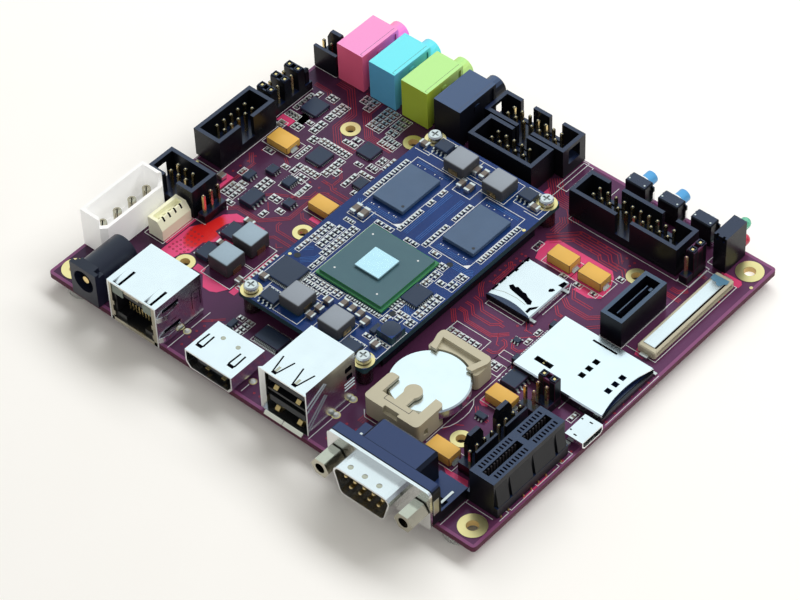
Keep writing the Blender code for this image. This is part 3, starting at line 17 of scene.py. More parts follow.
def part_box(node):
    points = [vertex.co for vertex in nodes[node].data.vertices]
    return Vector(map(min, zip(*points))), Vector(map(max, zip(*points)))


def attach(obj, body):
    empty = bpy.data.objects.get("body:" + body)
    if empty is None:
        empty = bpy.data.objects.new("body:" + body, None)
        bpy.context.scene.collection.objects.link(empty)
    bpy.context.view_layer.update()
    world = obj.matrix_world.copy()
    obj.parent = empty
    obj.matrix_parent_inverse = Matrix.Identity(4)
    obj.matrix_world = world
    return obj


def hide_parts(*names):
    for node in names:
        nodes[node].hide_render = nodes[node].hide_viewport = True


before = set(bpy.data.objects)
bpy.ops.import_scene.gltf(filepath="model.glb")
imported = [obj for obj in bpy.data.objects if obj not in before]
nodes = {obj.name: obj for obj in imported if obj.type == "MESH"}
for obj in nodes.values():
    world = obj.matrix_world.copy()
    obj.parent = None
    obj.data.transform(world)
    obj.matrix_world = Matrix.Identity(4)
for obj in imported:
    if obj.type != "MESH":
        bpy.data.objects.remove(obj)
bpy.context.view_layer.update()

# %% [markdown]
# ## Working in the board's own grid
# A board designer places parts in millimetres from a corner of the board. The same is done here:
# X counts from the left edge, Y from the front edge and Z from the top face of the board. A finished
# piece is moved once, as a mesh, into the model's frame, so its object can stay at the origin.

# %% The grid and the way from it to the model
MM = 0.001
BOARD = (135.5, 113.0, 1.6)
MODULE_FACE = 6.6
GRID_TO_MODEL = Matrix.Diagonal((MM, MM, MM, 1)) @ Matrix.Translation(
    (-BOARD[0] / 2, -BOARD[1] / 2, BOARD[2])
)
print("board corner in the model:", GRID_TO_MODEL @ Vector((0, 0, 0)))

# %% [markdown]
# ## From a bmesh to a piece
# Every added piece is drawn as a bmesh in grid millimetres. One helper keeps all pieces alike.


# %% The piece maker
ROUNDED_BELOW = math.radians(30)


def make_piece(name, shape, finish):
    bmesh.ops.transform(shape, matrix=GRID_TO_MODEL, verts=shape.verts[:])
    mesh = bpy.data.meshes.new(name)
    shape.to_mesh(mesh)
    shape.free()
    mesh.materials.append(finish)
    mesh.shade_smooth()
    mesh.set_sharp_from_angle(angle=ROUNDED_BELOW)
    piece = bpy.data.objects.new(name, mesh)
    bpy.context.scene.collection.objects.link(piece)
    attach(piece, "baseboard")
    print(name, len(mesh.polygons), "faces")
    return piece


# %% [markdown]
# ## Boxes, rods and rings
# Nearly everything on a board is a small block or a turned part. Blocks start from a unit cube that is
# stretched between two corners, rods from a cone with equal ends, and rings from four circles joined
# face by face, because bridge_loops can twist between circles that lie one inside the other. A bevel
# then takes the hard edge off: a moulded or plated edge always shows a thin line of light.


# %% Block, rod, ring and bevel
def add_block(shape, x, y, z, turn=0.0):
    middle = Vector([(low + high) / 2 for low, high in (x, y, z)])
    size = [high - low for low, high in (x, y, z)]
    place = Matrix.Translation(middle) @ Matrix.Rotation(turn, 4, "Z") @ Matrix.Diagonal((*size, 1))
    return bmesh.ops.create_cube(shape, size=1, matrix=place)["verts"]


def add_blocks(shape, *blocks):
    """Several blocks, each given by its spans along X, Y and Z."""
    for spans in blocks:
        add_block(shape, *spans)


def add_box(shape, centre, size, low, turn=0.0):
    """A block from the middle of its foot, its size and the height of its foot."""
    (x, y), (width, depth, height) = centre, size
    spans = (x - width / 2, x + width / 2), (y - depth / 2, y + depth / 2), (low, low + height)
    return add_block(shape, *spans, turn)


AXES = {"X": Matrix.Rotation(math.pi / 2, 4, "Y"), "Y": Matrix.Rotation(-math.pi / 2, 4, "X")}


def add_rod(shape, centre, radius, length, axis="Z", sides=16, tip=None):
    """A round rod about its middle; tip gives the far end another radius."""
    place = Matrix.Translation(centre) @ AXES.get(axis, Matrix.Identity(4))
    ends = {"radius1": radius, "radius2": radius if tip is None else tip}
    bmesh.ops.create_cone(shape, cap_ends=True, segments=sides, depth=length, matrix=place, **ends)


def add_ring(shape, centre, inner, outer, height, sides=32):
    """A flat ring with a thickness: four circles of points, joined face by face."""
    loops = []
    for radius, rise in ((inner, 0), (inner, height), (outer, height), (outer, 0)):
        place = Matrix.Translation(Vector(centre) + Vector((0, 0, rise)))
        loops.append(bmesh.ops.create_circle(shape, segments=sides, radius=radius, matrix=place)["verts"])
    for number, loop in enumerate(loops):
        after = loops[(number + 1) % 4]
        for n in range(sides):
            m = (n + 1) % sides
            shape.faces.new((loop[n], loop[m], after[m], after[n]))


def soften(shape, width, segments=1, edges=None):
    bmesh.ops.bevel(
        shape,
        geom=edges if edges is not None else shape.edges[:],
        offset=width,
        offset_type="OFFSET",
        segments=segments,
        profile=0.5,
        affect="EDGES",
        material=-1,
        clamp_overlap=True,
    )


def edges_of(verts):
    return list({edge for vert in verts for edge in vert.link_edges})


def outward(shape):
    bmesh.ops.recalc_face_normals(shape, faces=shape.faces[:])


def add_face(shape, outline, level):
    """One flat face that lies at a level."""
    return shape.faces.new([shape.verts.new((x, y, level)) for x, y in outline])


def pour_in(shape, part, place):
    """Puts a small bmesh at its place in a larger one."""
    bmesh.ops.transform(part, matrix=place, verts=part.verts[:])
    mesh = bpy.data.meshes.new("part")
    part.to_mesh(mesh)
    part.free()
    shape.from_mesh(mesh)
    bpy.data.meshes.remove(mesh)


def lay(along, first, second):
    """A pair of sizes or shifts whose first one runs along the named axis."""
    return (first, second) if along == "x" else (second, first)


def shifted(centre, along, distance):
    """A place moved along the named axis."""
    slip = lay(along, distance, 0)
    return centre[0] + slip[0], centre[1] + slip[1]


print("shape helpers ready")

# %% [markdown]
# ## Lines on a board
# Tracks and printed lines are flat strips with mitred corners. A strip starts as one short edge that
# lies across the line, and each step extrudes that edge to the next corner. Parallel tracks are the
# same line shifted sideways. The finished sheets get a few hundredths of a millimetre of thickness,
# as copper under its mask has.


# %% Strips that follow a line
def corner_sides(points, closed):
    """For each point, the sideways vector that keeps a strip one unit wide round the corner."""
    sides = []
    for number, point in enumerate(points):
        before = points[number - 1] if number or closed else None
        after = points[(number + 1) % len(points)] if number + 1 < len(points) or closed else None
        first = (point - before).normalized() if before is not None else None
        second = (after - point).normalized() if after is not None else None
        first, second = first or second, second or first
        side = Vector((-first.y - second.y, first.x + second.x)).normalized()
        sides.append(side / max(0.4, side.dot(Vector((-first.y, first.x)))))
    return sides


def add_line(shape, points, width, level, shift=0.0, closed=False):
    points = [Vector(point) for point in points]
    sides = corner_sides(points, closed)
    rails = [
        [point + side * (shift + across) for point, side in zip(points, sides)]
        for across in (-width / 2, width / 2)
    ]
    if closed:
        rails = [rail + rail[:1] for rail in rails]
    ends = [shape.verts.new((*rail[0], level)) for rail in rails]
    edge = shape.edges.new(ends)
    for left, right in zip(*(rail[1:] for rail in rails)):
        made = bmesh.ops.extrude_edge_only(shape, edges=[edge])["geom"]
        edge = next(item for item in made if isinstance(item, bmesh.types.BMEdge))
        corner = [item for item in made if isinstance(item, bmesh.types.BMVert)]
        near_left = min(corner, key=lambda vert: (vert.co.xy - ends[0].co.xy).length)
        corner.remove(near_left)
        near_left.co = (*left, level)
        corner[0].co = (*right, level)
        ends = [near_left, corner[0]]


def add_bundle(shape, points, count, pitch, width, level):
    """Parallel tracks: the same line, shifted sideways once for each of them."""
    for number in range(count):
        add_line(shape, points, width, level, shift=(number - (count - 1) / 2) * pitch)


def add_frame(shape, x, y, width, level):
    corners = [(x[0], y[0]), (x[1], y[0]), (x[1], y[1]), (x[0], y[1])]
    add_line(shape, corners, width, level, closed=True)


def thicken(shape, thickness):
    bmesh.ops.remove_doubles(shape, verts=shape.verts[:], dist=0.0001)
    for face in shape.faces:
        if face.normal.z < 0:
            face.normal_flip()
    bmesh.ops.solidify(shape, geom=shape.faces[:], thickness=-thickness)
    outward(shape)


print("line helpers ready")

# %% [markdown]
# ## The camera
# The photograph was taken from the right front corner, a little over half way up, with a long lens
# that keeps edges nearly parallel. The place and the lens were solved from parts of known size, such
# as the pitch of the pins, so the camera can be written down as plain numbers.

# %% Camera
EYE = (0.37037, -0.40214, 0.56408)
AZIMUTH, ELEVATION, ROLL = (math.radians(angle) for angle in (42.96, 46.33, -2.45))
camera = bpy.data.objects.new("camera", bpy.data.cameras.new("camera"))
camera.data.sensor_width = 36
camera.data.lens = 145.85
camera.data.clip_start = 0.02
camera.matrix_world = (
    Matrix.Translation(EYE)
    @ Matrix.Rotation(AZIMUTH, 4, "Z")
    @ Matrix.Rotation(math.pi / 2 - ELEVATION, 4, "X")
    @ Matrix.Rotation(ROLL, 4, "Z")
)
bpy.context.scene.collection.objects.link(camera)
bpy.context.scene.camera = camera
bpy.context.scene.view_settings.view_transform = "Standard"
print("camera looks along", -camera.matrix_world.col[2].xyz)

# %% [markdown]
# ## Shader sums as plain expressions
# A finish is mostly sums on numbers, such as "a little rougher where the noise is high". Wiring Math
# nodes by hand hides that, so a small class wraps one socket and overloads the operators. Any other
# node comes from one method, which takes its settings first and then its sockets.


# %% The wire
class Wire:
    """One socket of a finish, on which Python's operators build the rest."""

    def __init__(self, tree, socket=None):
        self.tree = tree
        self.socket = socket

    def node(self, kind, settings=None, sockets=None, output=0):
        made = self.tree.nodes.new(kind)
        for name, value in (settings or {}).items():
            if name == "stops":
                ramp = made.color_ramp
                for spot, (position, colour) in enumerate(value):
                    stop = ramp.elements[spot] if spot < 2 else ramp.elements.new(position)
                    stop.position = position
                    stop.color = (*colour, 1)
            else:
                setattr(made, name, value)
        for name, value in (sockets or {}).items():
            if isinstance(value, Wire):
                self.tree.links.new(value.socket, made.inputs[name])
            else:
                made.inputs[name].default_value = value
        return Wire(self.tree, made.outputs[output])

    def maths(self, operation, *values):
        return self.node("ShaderNodeMath", {"operation": operation}, dict(enumerate(values)))

    def __add__(self, other):
        return self.maths("ADD", self, other)

    def __sub__(self, other):
        return self.maths("SUBTRACT", self, other)

    def __rsub__(self, other):
        return self.maths("SUBTRACT", other, self)

    def __mul__(self, other):
        return self.maths("MULTIPLY", self, other)

    def __gt__(self, other):
        return self.maths("GREATER_THAN", self, other)

    def __lt__(self, other):
        return self.maths("LESS_THAN", self, other)

    __radd__ = __add__
    __rmul__ = __mul__


def clamp(wire):
    return wire.node("ShaderNodeClamp", None, {0: wire})


def mix(factor, first, second):
    """A colour between two colours, each a wire or three numbers."""
    ends = [value if isinstance(value, Wire) else (*value, 1) for value in (first, second)]
    inputs = {0: factor, 6: ends[0], 7: ends[1]}
    return factor.node("ShaderNodeMix", {"data_type": "RGBA"}, inputs, output=2)


def noise(wire, size, detail=2.0, stretch=None):
    """Soft random patches about `size` millimetres across, between 0 and 1."""
    place = position(wire)
    if stretch:
        place = wire.node("ShaderNodeVectorMath", {"operation": "MULTIPLY"}, {0: place, 1: stretch})
    inputs = {"Vector": place, "Scale": 1 / (size * MM), "Detail": detail}
    return wire.node("ShaderNodeTexNoise", None, inputs)


def position(wire):
    return wire.node("ShaderNodeTexCoord", output=3)


def axis_of(wire, letter):
    return wire.node("ShaderNodeSeparateXYZ", None, {0: position(wire)}, "XYZ".index(letter))


def facing(wire, letter):
    """How far the surface faces along an axis of the piece, from -1 to 1."""
    normal = wire.node("ShaderNodeTexCoord", output=1)
    return wire.node("ShaderNodeSeparateXYZ", None, {0: normal}, "XYZ".index(letter))


def bump(height, depth):
    """A height map, in units of `depth` millimetres, turned into a normal."""
    inputs = {"Height": height, "Distance": depth * MM, "Strength": 1.0}
    return height.node("ShaderNodeBump", None, inputs)


def finish(name, **sockets):
    """A material whose shader takes plain values or wires; a call without wires starts one."""
    made = bpy.data.materials.get(name) or bpy.data.materials.new(name)
    made.use_nodes = True
    shader = made.node_tree.nodes["Principled BSDF"]
    for socket, value in sockets.items():
        target = shader.inputs[socket.replace("_", " ")]
        if isinstance(value, Wire):
            made.node_tree.links.new(value.socket, target)
        else:
            target.default_value = (*value, 1) if isinstance(value, tuple) else value
    return made


def start(name):
    return Wire(finish(name).node_tree)


print("wire ready")

# %% [markdown]
# ## Light and floor
# The object stands on white paper under soft daylight from behind. A wide soft lamp behind the board
# gives the short shadows towards the front, and the even light of the sky fills the rest. Metal and
# glossy mask mirror the sky, which is brighter and a little bluer high up behind the board, where the
# camera's glance is thrown by flat tops, so the world is drawn once for glossy rays and once for the rest.

# %% World
world = bpy.data.worlds.new("studio")
bpy.context.scene.world = world
world.use_nodes = True
sky = Wire(world.node_tree)
glance = sky.node("ShaderNodeTexCoord", output=0)
BRIGHTEST_WAY = (-0.47, 0.5, 0.72)
SKY_STOPS = [(0.0, (0.08, 0.08, 0.09)), (0.94, (0.97, 1.14, 1.2)), (0.5, (0.26, 0.28, 0.33))]
PLAIN_SKY = 0.46
inputs = {0: glance, 1: BRIGHTEST_WAY}
toward = sky.node("ShaderNodeVectorMath", {"operation": "DOT_PRODUCT"}, inputs, output="Value")
glow = sky.node("ShaderNodeValToRGB", {"stops": SKY_STOPS}, {0: toward * 0.5 + 0.5})
rays = sky.node("ShaderNodeLightPath", output="Is Glossy Ray")
inputs = {"Color": (1, 0.975, 0.92, 1), "Strength": PLAIN_SKY}
plain = sky.node("ShaderNodeBackground", None, inputs)
mirrored = sky.node("ShaderNodeBackground", None, {"Color": glow, "Strength": 1.0})
blend = sky.node("ShaderNodeMixShader", None, {0: rays, 1: plain, 2: mirrored})
world.node_tree.links.new(blend.socket, world.node_tree.nodes["World Output"].inputs[0])
print("world: plain", PLAIN_SKY, "mirrored up to", max(SKY_STOPS[1][1]))


# %% Lamps
def add_lamp(name, place, size, power, colour=(1, 1, 1)):
    """A soft rectangular lamp that shines at the middle of the board."""
    light = bpy.data.lights.new(name, "AREA")
    light.shape = "RECTANGLE"
    light.size, light.size_y = size
    light.energy = power
    light.color = colour
    lamp = bpy.data.objects.new(name, light)
    turn = Vector(place).to_track_quat("Z", "Y").to_matrix().to_4x4()
    lamp.matrix_world = Matrix.Translation(place) @ turn
    lamp.visible_glossy = False
    bpy.context.scene.collection.objects.link(lamp)


add_lamp("back_window", (0.0, 0.45, 0.6), (1.15, 0.3), 5.9, (0.985, 0.99, 1.0))
add_lamp("front_fill", (0.6, -0.5, 0.45), (0.5, 0.5), 0.8)

# %% Floor
FLOOR_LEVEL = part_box("foot_1")[0][2]
floor_shape = bmesh.new()
bmesh.ops.create_grid(floor_shape, x_segments=1, y_segments=1, size=1.5)
bmesh.ops.translate(floor_shape, verts=floor_shape.verts[:], vec=(0, 0, FLOOR_LEVEL))
floor_mesh = bpy.data.meshes.new("floor")
floor_shape.to_mesh(floor_mesh)
floor_shape.free()
floor = bpy.data.objects.new("floor", floor_mesh)
bpy.context.scene.collection.objects.link(floor)
clouds = noise(start("paper"), 40)
white_paper = mix(clouds, (0.945, 0.93, 0.895), (0.97, 0.96, 0.93))
paper = finish("paper", Base_Color=white_paper, Roughness=0.9, Specular_IOR_Level=0.1)
floor_mesh.materials.append(paper)
print("floor at", round(FLOOR_LEVEL / MM, 2), "mm")

# %% [markdown]
# ## Solder mask
# Both boards are glass cloth under a coat of tinted, glossy mask. Seen close, the cloth gives a faint
# weave and the coat is a little uneven. Away from filled copper, the mask also gets a painted sheen that
# grows paler towards the right. The cut edge of a board shows the cloth without the gloss.
# The weave is a product of two sines, which is cheaper and more regular than a noise. The board's
# outermost rim has no copper under the mask, so it's a little paler, like a thin border.


# %% Mask finish
CLOTH_THREADS = 9000
RIM_WIDTH = 0.85


def solder_mask(name, coat, cloth_edge, hot=None, border=None):
    """Hot is a patch of purer red, and border the colour of the rim, where no copper lies below."""
    wire = start(name)
    across, along = axis_of(wire, "X") * CLOTH_THREADS, axis_of(wire, "Y") * CLOTH_THREADS
    weave = wire.maths("SINE", across) * wire.maths("SINE", along)
    # Random patches. Away from hot patches, a painted sheen is added that is paler towards the right.
    patches_and_sheen = clamp(noise(wire, 9, 3) * 0.5 + (0.43 if hot else axis_of(wire, "X") * 5.5 + 0.25))
    deep = tuple(value * 0.38 for value in coat)
    flat = facing(wire, "Z")
    side = flat * flat < 0.3
    face = mix(patches_and_sheen, deep, coat)
    if border:
        past_x = wire.maths("ABSOLUTE", axis_of(wire, "X")) > (BOARD[0] / 2 - RIM_WIDTH) * MM
        past_y = wire.maths("ABSOLUTE", axis_of(wire, "Y")) > (BOARD[1] / 2 - RIM_WIDTH) * MM
        face = mix(clamp(past_x + past_y), face, border)
    colour = mix(side, face, cloth_edge)
    if hot:
        x, y, half_width, half_length = hot
        away_x = (axis_of(wire, "X") - (x - BOARD[0] / 2) * MM) * (1 / (half_width * MM))
        away_y = (axis_of(wire, "Y") - (y - BOARD[1] / 2) * MM) * (1 / (half_length * MM))
        inside = clamp(3 - (away_x * away_x + away_y * away_y) * 3)
        colour = mix(inside, colour, (0.62, 0.017, 0.016))
    return finish(
        name,
        Base_Color=colour,
        Roughness=side * 0.35 + noise(wire, 2.5) * 0.12 + 0.14,
        Normal=bump(weave * 0.5 + noise(wire, 1.2) * 0.6, 0.004),
        Specular_IOR_Level=0.3,
        Specular_Tint=(0.8, 0.65, 1.0),
    )


RIM_COLOUR = (0.22, 0.07, 0.16)
HOT_PATCH = (20.0, 34.2, 3.9, 7.2)
maroon = solder_mask("maroon_mask", (0.118, 0.034, 0.092), (0.075, 0.01, 0.026), border=RIM_COLOUR)
track_red = solder_mask("maroon_over_copper", (0.5, 0.05, 0.075), (0.3, 0.02, 0.03))
pour_red = solder_mask("maroon_over_pour", (0.86, 0.078, 0.22), (0.4, 0.02, 0.03), HOT_PATCH)
blue = solder_mask("blue_mask", (0.013, 0.05, 0.2), (0.025, 0.06, 0.07))
track_blue = solder_mask("blue_over_copper", (0.05, 0.17, 0.5), (0.03, 0.1, 0.3))
print("mask finishes ready")

# %% [markdown]
# ## Moulded plastics
# Connectors are moulded in tough, slightly glossy plastic. A mould leaves an even, fine grain, and the
# colour drifts a little from part to part. One recipe serves every plastic; only the colour, the gloss
# and how coarse the grain is differ. Faces that look up get a painted sheen, the colour they take under
# the cool sky. Upright walls of white plastic get painted light, a little emission for the light that
# passes a short way into them. The right side of a coloured jack gets a painted glow from its
# neighbour, a second colour that grows towards the back.


# %% Plastic finish
AUDIO_FRONT = 98


def scaled(colour, factor):
    return tuple(min(1, value * factor) for value in colour)


def moulded(
    name, colour, roughness=0.35, grain=0.006, drift=0.12,
    polish=0.0, top_sheen=None, glow=None, painted_wall_glow=0, **constants
):
    """Polish is the extra gloss of faces that look up. The sheen colour is a painted sheen on those faces,
    the colour they take under the cool sky. Glow is a painted glow: the colour that the right side takes
    from its neighbour towards the back. The wall glow is painted light, an emission on upright walls of
    white plastic for the light that comes through them."""
    wire = start(name)
    fine = noise(wire, 0.35, 3)
    up = clamp(facing(wire, "Z") * 3 - 2)
    # Painted light: white plastic glows a little, most on its upright walls.
    if painted_wall_glow:
        constants["Emission_Color"] = mix(up, (painted_wall_glow, painted_wall_glow, painted_wall_glow), (0.05, 0.05, 0.05))
        constants["Emission_Strength"] = 1.0
    if polish:
        constants["Coat_Weight"] = up * polish
    base = mix(noise(wire, 6, 3), scaled(colour, 1 - drift), scaled(colour, 1 + drift))
    # Painted sheen: faces that look up take the colour they have under the cool sky.
    if top_sheen:
        base = mix(up, base, mix(fine, top_sheen, scaled(top_sheen, 1 + drift)))
    # Painted glow: the right side takes its neighbour's colour, more towards the back.
    if glow:
        back = clamp((axis_of(wire, "Y") - (AUDIO_FRONT - BOARD[1] / 2) * MM) * (1 / (15 * MM)))
        base = mix(clamp(facing(wire, "X")) * back, base, glow)
    return finish(
        name,
        Base_Color=base,
        Roughness=fine * 0.1 + noise(wire, 4) * 0.14 + (roughness - 0.12),
        Normal=bump(fine, grain),
        **constants,
    )


SHINE = {"Coat_IOR": 1.75, "Coat_Roughness": 0.22, "Specular_IOR_Level": 0.2}
DEEP_BLACK = (0.004, 0.0045, 0.007)


def glossy_black(name, colour, roughness, polish, top_sheen, grain=0.008):
    return moulded(name, colour, roughness, grain, polish=polish, top_sheen=top_sheen, **SHINE)


black = glossy_black("black_plastic", DEEP_BLACK, 0.3, 0.44, (0.006, 0.012, 0.04))
slate = glossy_black("slot_slate", DEEP_BLACK, 0.36, 0.45, (0.011, 0.024, 0.066))
serial_black = glossy_black("serial_black", DEEP_BLACK, 0.36, 0.3, (0.012, 0.028, 0.1))
data_black = glossy_black("data_black", (0.004, 0.0045, 0.008), 0.34, 0.5, (0.026, 0.052, 0.1))
ink_black = glossy_black("audio_black", (0.006, 0.007, 0.012), 0.42, 0.5, (0.03, 0.06, 0.14), 0.012)
jack_black = moulded("jack_black", (0.009, 0.011, 0.024), 0.34, 0.008, Specular_IOR_Level=0.35)
white = moulded("white_plastic", (0.9, 0.9, 0.89), 0.4, 0.005, 0.03, painted_wall_glow=0.19)
cream = moulded("cream_plastic", (0.86, 0.85, 0.6), 0.42, 0.005, 0.06, painted_wall_glow=0.06)
beige = moulded("holder_cream", (0.5, 0.46, 0.335), 0.42, 0.008, 0.07)
pink, cyan, lime = (
    moulded(f"audio_{name}", colour, 0.4, 0.01, 0.05, 0.5, top_sheen, glow, **SHINE)
    for name, colour, top_sheen, glow in (
        ("pink", (0.9, 0.145, 0.28), (0.82, 0.27, 0.56), (1.0, 0.32, 0.95)),
        ("blue", (0.12, 0.45, 0.74), (0.14, 0.72, 0.8), (0.14, 0.9, 1.0)),
        ("green", (0.46, 0.6, 0.055), (0.42, 0.74, 0.24), (0.58, 0.92, 0.34)),
    )
)
button = moulded("button_blue", (0.08, 0.34, 0.66), 0.35)
# Painted light: a glowing white for lit paper seen through gaps.
painted_light_gap = moulded(
    "painted_light_gap", (0.95, 0.95, 0.93), 0.6, Emission_Color=(1.0, 1.0, 0.98), Emission_Strength=0.55
)
film_blue = moulded("pull_film", (0.1, 0.23, 0.34), 0.3, 0.002)
insert_dark = moulded("insert_dark", (0.006, 0.0063, 0.008), 0.38)
# Painted shade: near-black plates where cuts, slits and windows show only their shaded inside.
hole_black = moulded("hole_black", (0.002, 0.002, 0.004), 0.9, 0.001, Specular_IOR_Level=0.0)
seam_dark = moulded("seam_dark", (0.05, 0.045, 0.05), 0.5)
lens_grey = moulded("light_window", (0.16, 0.2, 0.17), 0.2, 0.001)
print("plastics ready")

# %% [markdown]
# ## Chip bodies
# A chip is pressed from black epoxy full of glass powder, so it's duller and greyer than a connector,
# with a finely pitted skin. The processor's lid is a printed laminate with a green cut edge, and its
# bare die is polished silicon.

# %% Chip finishes
chip_black = moulded("chip_epoxy", (0.014, 0.024, 0.052), 0.4, 0.012, 0.15)
memory = moulded("memory_epoxy", (0.06, 0.1, 0.175), 0.42, 0.012, 0.12)
PACKAGE_MIDDLE, LID_HALF = (65.7, 46.8), 9.95
lid = start("package_laminate")
rim_x, rim_y = (
    lid.maths("ABSOLUTE", axis_of(lid, letter) - (middle - width / 2) * MM)
    for letter, middle, width in zip("XY", PACKAGE_MIDDLE, BOARD)
)
rim = clamp((facing(lid, "Z") < 0.5) + (lid.maths("MAXIMUM", rim_x, rim_y) > LID_HALF * MM))
flat = mix(noise(lid, 3, 3), (0.045, 0.1, 0.125), (0.055, 0.12, 0.14))
package = finish(
    "package_laminate",
    Base_Color=mix(rim, flat, (0.035, 0.2, 0.07)),
    Roughness=noise(lid, 1.5) * 0.1 + 0.34,
    Normal=bump(noise(lid, 0.3), 0.004),
)
die_wire = start("silicon")
silicon = finish(
    "silicon",
    Base_Color=mix(noise(die_wire, 2), (0.5, 0.74, 0.82), (0.58, 0.8, 0.86)),
    Metallic=0.85,
    Roughness=noise(die_wire, 1.5) * 0.06 + 0.13,
)
print("chip finishes ready")

# %% [markdown]
# ## Metals
# Jack shells are stamped from plated sheet: bright, with faint rolling lines and finger smudges. Pins
# and lands are gold plated, and solder leaves chip legs and capacitor ends dull and silvery. The
# rolling lines are a noise that is squeezed in one direction, and they only tilt the surface a little.


# %% Metal finish
def plated(name, colour, roughness=0.25, lines=0.0025, stretch=(0.06, 1, 1), metal=1.0, tarnish=0.88):
    wire = start(name)
    rolled = noise(wire, 0.25, 2, stretch)
    smudge = noise(wire, 5, 3)
    return finish(
        name,
        Base_Color=mix(smudge, scaled(colour, tarnish), colour),
        Metallic=metal,
        Roughness=smudge * 0.12 + rolled * 0.06 + (roughness - 0.08),
        Normal=bump(rolled, lines),
    )


nickel = plated("nickel", (0.84, 0.84, 0.83), 0.24)
sheet = plated("tinned_sheet", (0.88, 0.9, 0.9), 0.22)
dull_metal = plated("zinc_shell", (0.58, 0.54, 0.42), 0.24, tarnish=0.7)
cell_metal = plated("cell_steel", (0.9, 0.95, 0.96), 0.22, stretch=(1, 0.05, 1))
gold = plated("gold", (0.95, 0.72, 0.32), 0.24)
land_gold = plated("gold_land", (1.0, 0.8, 0.37), 0.3, tarnish=0.82)
# Painted light: the lining glows a little, so the shaded inside of a hole shows its colour.
lining = moulded(
    "hole_lining", (0.5, 0.36, 0.14), 0.4, Emission_Color=(0.6, 0.42, 0.16), Emission_Strength=0.16
)
screw_plate = plated("screw_plate", (0.6, 0.57, 0.46), 0.13, tarnish=0.7)
joint = plated("solder_joint", (0.9, 0.9, 0.86), 0.3, 0.006, metal=0.35)
flare = plated("flared_sheet", (0.86, 0.84, 0.7), 0.3, metal=0.5)
brass = plated("brass", (0.72, 0.5, 0.2), 0.28)
solder = plated("solder", (0.78, 0.77, 0.73), 0.32, 0.006)
print("metals ready")

# %% [markdown]
# ## Powder cores, tantalum and ceramic
# Power coils are pressed from grey iron powder, which looks like fine stone. Tantalum capacitors have
# ochre epoxy bodies, and ceramic capacitors are brown between their silvery ends.

# %% Small part finishes
coil_grey = moulded("coil_powder", (0.05, 0.045, 0.05), 0.55, 0.02, 0.14, top_sheen=(0.29, 0.38, 0.45))
coil_warm = moulded("coil_powder_light", (0.055, 0.055, 0.06), 0.55, 0.02, 0.12, top_sheen=(0.26, 0.29, 0.33))
ochre = moulded("tantalum_epoxy", (0.72, 0.42, 0.085), 0.4, 0.008, 0.1)
ceramic = moulded("ceramic_brown", (0.16, 0.13, 0.11), 0.4, 0.01, 0.2)
resistor = moulded("resistor_black", (0.02, 0.02, 0.025), 0.35, 0.006)
ink = moulded("printed_white", (0.72, 0.74, 0.74), 0.5, 0.004, 0.08)
print("small part finishes ready")

# %% [markdown]
# ## Clear parts
# The two light lenses are tinted resin and the feet are clear soft rubber. Both let light through, so
# they're given a little transmission and a soft tint, with constants set on the shader itself.

# %% Clear finishes
lens_green = moulded("lens_green", (0.2, 0.75, 0.5), 0.2, 0.001, Transmission_Weight=0.5)
lens_red = moulded("lens_red", (0.75, 0.04, 0.1), 0.2, 0.001, Transmission_Weight=0.5)
rubber = moulded("clear_rubber", (0.75, 0.77, 0.74), 0.25, 0.003, Transmission_Weight=0.6)
print("clear finishes ready")

# %% [markdown]
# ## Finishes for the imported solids
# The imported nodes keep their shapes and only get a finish. Two of them are made of more than one
# material in life: a module fixing is a dark steel spacer with a bright screw, and the SIM holder a
# black tray under a bright lid. So their finishes change with height.

# %% Finishes that change with height
SCREW_FOOT, TRAY_TOP = MODULE_FACE - 0.2, 2.45
wire = start("module_fixing")
screw = axis_of(wire, "Z") > (BOARD[2] + SCREW_FOOT) * MM
bright = mix(noise(wire, 1), (0.6, 0.6, 0.58), (0.8, 0.8, 0.78))
fixing = finish(
    "module_fixing",
    Base_Color=mix(screw, (0.16, 0.13, 0.11), bright),
    Metallic=1.0,
    Roughness=noise(wire, 1.2) * 0.14 + 0.2,
)
wire = start("sim_cage")
lid_part = axis_of(wire, "Z") > (BOARD[2] + TRAY_TOP) * MM
bright = mix(noise(wire, 5), (0.84, 0.88, 0.9), (0.9, 0.94, 0.95))
tray = finish(
    "sim_cage",
    Base_Color=mix(lid_part, (0.008, 0.009, 0.012), bright),
    Metallic=lid_part,
    Roughness=noise(wire, 3) * 0.08 + 0.16,
)
print("fixing changes metal", round(SCREW_FOOT, 2), "mm above the board")

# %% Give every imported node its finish
NODE_FINISHES = (
    (maroon, "baseboard_pcb"),
    (blue, "module_pcb"),
    (fixing, "module_fixing"),
    (package, "processor_package"),
    (silicon, "processor_die"),
    (memory, "memory_chip"),
    (sheet, "network_jack_shield video_jack_shell usb_jack_shell memory_card_socket micro_usb_socket"),
    (insert_dark, "network_jack_insert video_jack_insert usb_jack_insert d_connector_insert"),
    (jack_black, "power_jack_housing"),
    (gold, "power_jack_pin"),
    (nickel, "d_connector_face"),
    (serial_black, "d_connector_housing"),
    (data_black, "disk_data_header"),
    (screw_plate, "jackscrew"),
    (white, "disk_power_header"),
    (cream, "cream_header"),
    (pink, "audio_jack_pink"),
    (cyan, "audio_jack_blue"),
    (lime, "audio_jack_green"),
    (ink_black, "audio_jack_black"),
    (lens_green, "light_green"),
    (lens_red, "light_red"),
    (beige, "display_connector cell_holder"),
    (tray, "sim_holder"),
    (cell_metal, "coin_cell"),
    (slate, "edge_card_slot"),
    (rubber, "foot"),
)
finish_of = {stem: made for made, stems in NODE_FINISHES for stem in stems.split()}
for name, node in nodes.items():
    fitting = [stem for stem in finish_of if name.startswith(stem)]
    chosen = button if name.endswith("_button") else finish_of[fitting[0]] if fitting else black
    node.material_slots[0].material = chosen
print("finished nodes:", len(nodes))
